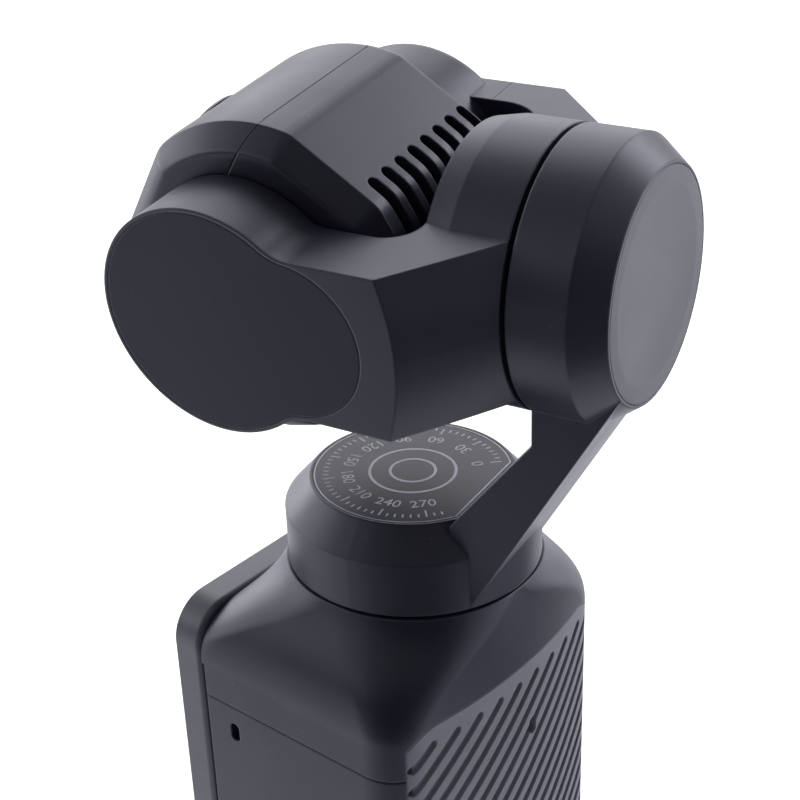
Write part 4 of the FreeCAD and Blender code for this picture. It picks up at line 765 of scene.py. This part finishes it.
flags = {
    "floorFlag": {"place": (0.46, 0.386, 0.002), "wide": 0.60, "tall": 1.0, "tilt": 0, "turn": 130,
                  "glow": 0.0},
    "cameraFlag": {"place": (0.54, 0.453, 0.35), "wide": 1.50, "tall": 0.75, "tilt": 90, "turn": 130,
                   "glow": 0.0},
    "topFlag": {"place": (0.12, 0.10, 0.62), "wide": 0.95, "tall": 0.78, "tilt": 0, "turn": 130,
                "glow": 0.32},
    "leftFlag": {"place": (0.72, -0.36, 0.10), "wide": 0.75, "tall": 0.36, "tilt": 90, "turn": 63,
                 "glow": 0.1},
    "shoulderFlag": {"place": (-0.105, 0.085, 0.002), "wide": 0.14, "tall": 0.09, "tilt": 0, "turn": 0,
                     "glow": 0.1},
}


def seenDirectly(nodes, links):
    # One where the camera, a mirror or glass looks at the surface
    path = nodes.new("ShaderNodeLightPath")
    total = path.outputs["Is Camera Ray"]
    for name in ("Is Glossy Ray", "Is Transmission Ray"):
        add = nodes.new("ShaderNodeMath")
        add.operation = "ADD"
        add.use_clamp = True
        links.new(total, add.inputs[0])
        links.new(path.outputs[name], add.inputs[1])
        total = add.outputs[0]
    return total


def addWorld():
    world = bpy.data.worlds.new("studio")
    bpy.context.scene.world = world
    world.use_nodes = True
    nodes, links = world.node_tree.nodes, world.node_tree.links
    back = [node for node in nodes if node.type == "BACKGROUND"][0]
    path = nodes.new("ShaderNodeLightPath")
    links.new(mixColours(nodes, links, path.outputs["Is Camera Ray"], coolLight[:3], (1, 1, 1)),
              back.inputs["Color"])
    links.new(spread(nodes, links, seenDirectly(nodes, links), worldLight, 1.0, 0, 1),
              back.inputs["Strength"])


def addFloor():
    bpy.ops.mesh.primitive_plane_add(size=floorLooks["size"], location=(0, 0, 0))
    floor = bpy.context.object
    floor.name = "studioFloor"
    material, nodes, links = newMaterial("studioFloor")
    shader = shaderOf(nodes)
    path = nodes.new("ShaderNodeLightPath")
    seen = path.outputs["Is Camera Ray"]
    links.new(mixColours(nodes, links, seen, floorLooks["mirrored"], floorLooks["seen"]),
              shader.inputs["Base Color"])
    shader.inputs["Roughness"].default_value = floorLooks["rough"]
    links.new(mixColours(nodes, links, seen, coolLight[:3], (1, 1, 1)), shader.inputs["Emission Color"])
    # The lamps fade away from the object, and the glow makes up for it
    away = vectorNode(nodes, links, "LENGTH", objectPlace(nodes))
    glow = nodes.new("ShaderNodeMix")
    links.new(seen, glow.inputs["Factor"])
    links.new(spread(nodes, links, seenDirectly(nodes, links), 0, floorLooks["glow"], 0, 1),
              glow.inputs["A"])
    links.new(spread(nodes, links, away, floorLooks["glow"], floorLooks["farGlow"], floorLooks["near"],
                     floorLooks["far"]), glow.inputs["B"])
    links.new(glow.outputs["Result"], shader.inputs["Emission Strength"])
    floor.data.materials.append(material)


def addFlag(name):
    looks = flags[name]
    bpy.ops.mesh.primitive_plane_add(size=1, location=looks["place"])
    flag = bpy.context.object
    flag.name = name
    flag.scale = (looks["wide"], looks["tall"], 1)
    flag.rotation_euler = (math.radians(looks["tilt"]), 0, math.radians(looks["turn"]))
    flag.visible_camera = False
    flag.visible_diffuse = False
    flag.visible_transmission = False
    flag.visible_shadow = False
    material, nodes, links = newMaterial(name)
    shader = shaderOf(nodes)
    shader.inputs["Base Color"].default_value = flagColour
    shader.inputs["Specular IOR Level"].default_value = 0.0
    shader.inputs["Emission Color"].default_value = coolLight
    shader.inputs["Emission Strength"].default_value = looks["glow"]
    flag.data.materials.append(material)


def addLamp(name):
    looks = lamps[name]
    lamp = bpy.data.objects.new(name, bpy.data.lights.new(name, "AREA"))
    lamp.data.size = looks["size"]
    lamp.data.energy = looks["power"]
    lamp.data.color = coolLight[:3]
    lamp.location = looks["place"]
    aim = Vector(lampAim) - lamp.location
    lamp.rotation_euler = aim.to_track_quat("-Z", "Y").to_euler()
    bpy.context.scene.collection.objects.link(lamp)


bpy.context.scene.view_settings.view_transform = "Standard"
addCamera()
addWorld()
addFloor()
for lampName in lamps:
    addLamp(lampName)
for flagName in flags:
    addFlag(flagName)
print("camera, floor, lamps and flags")
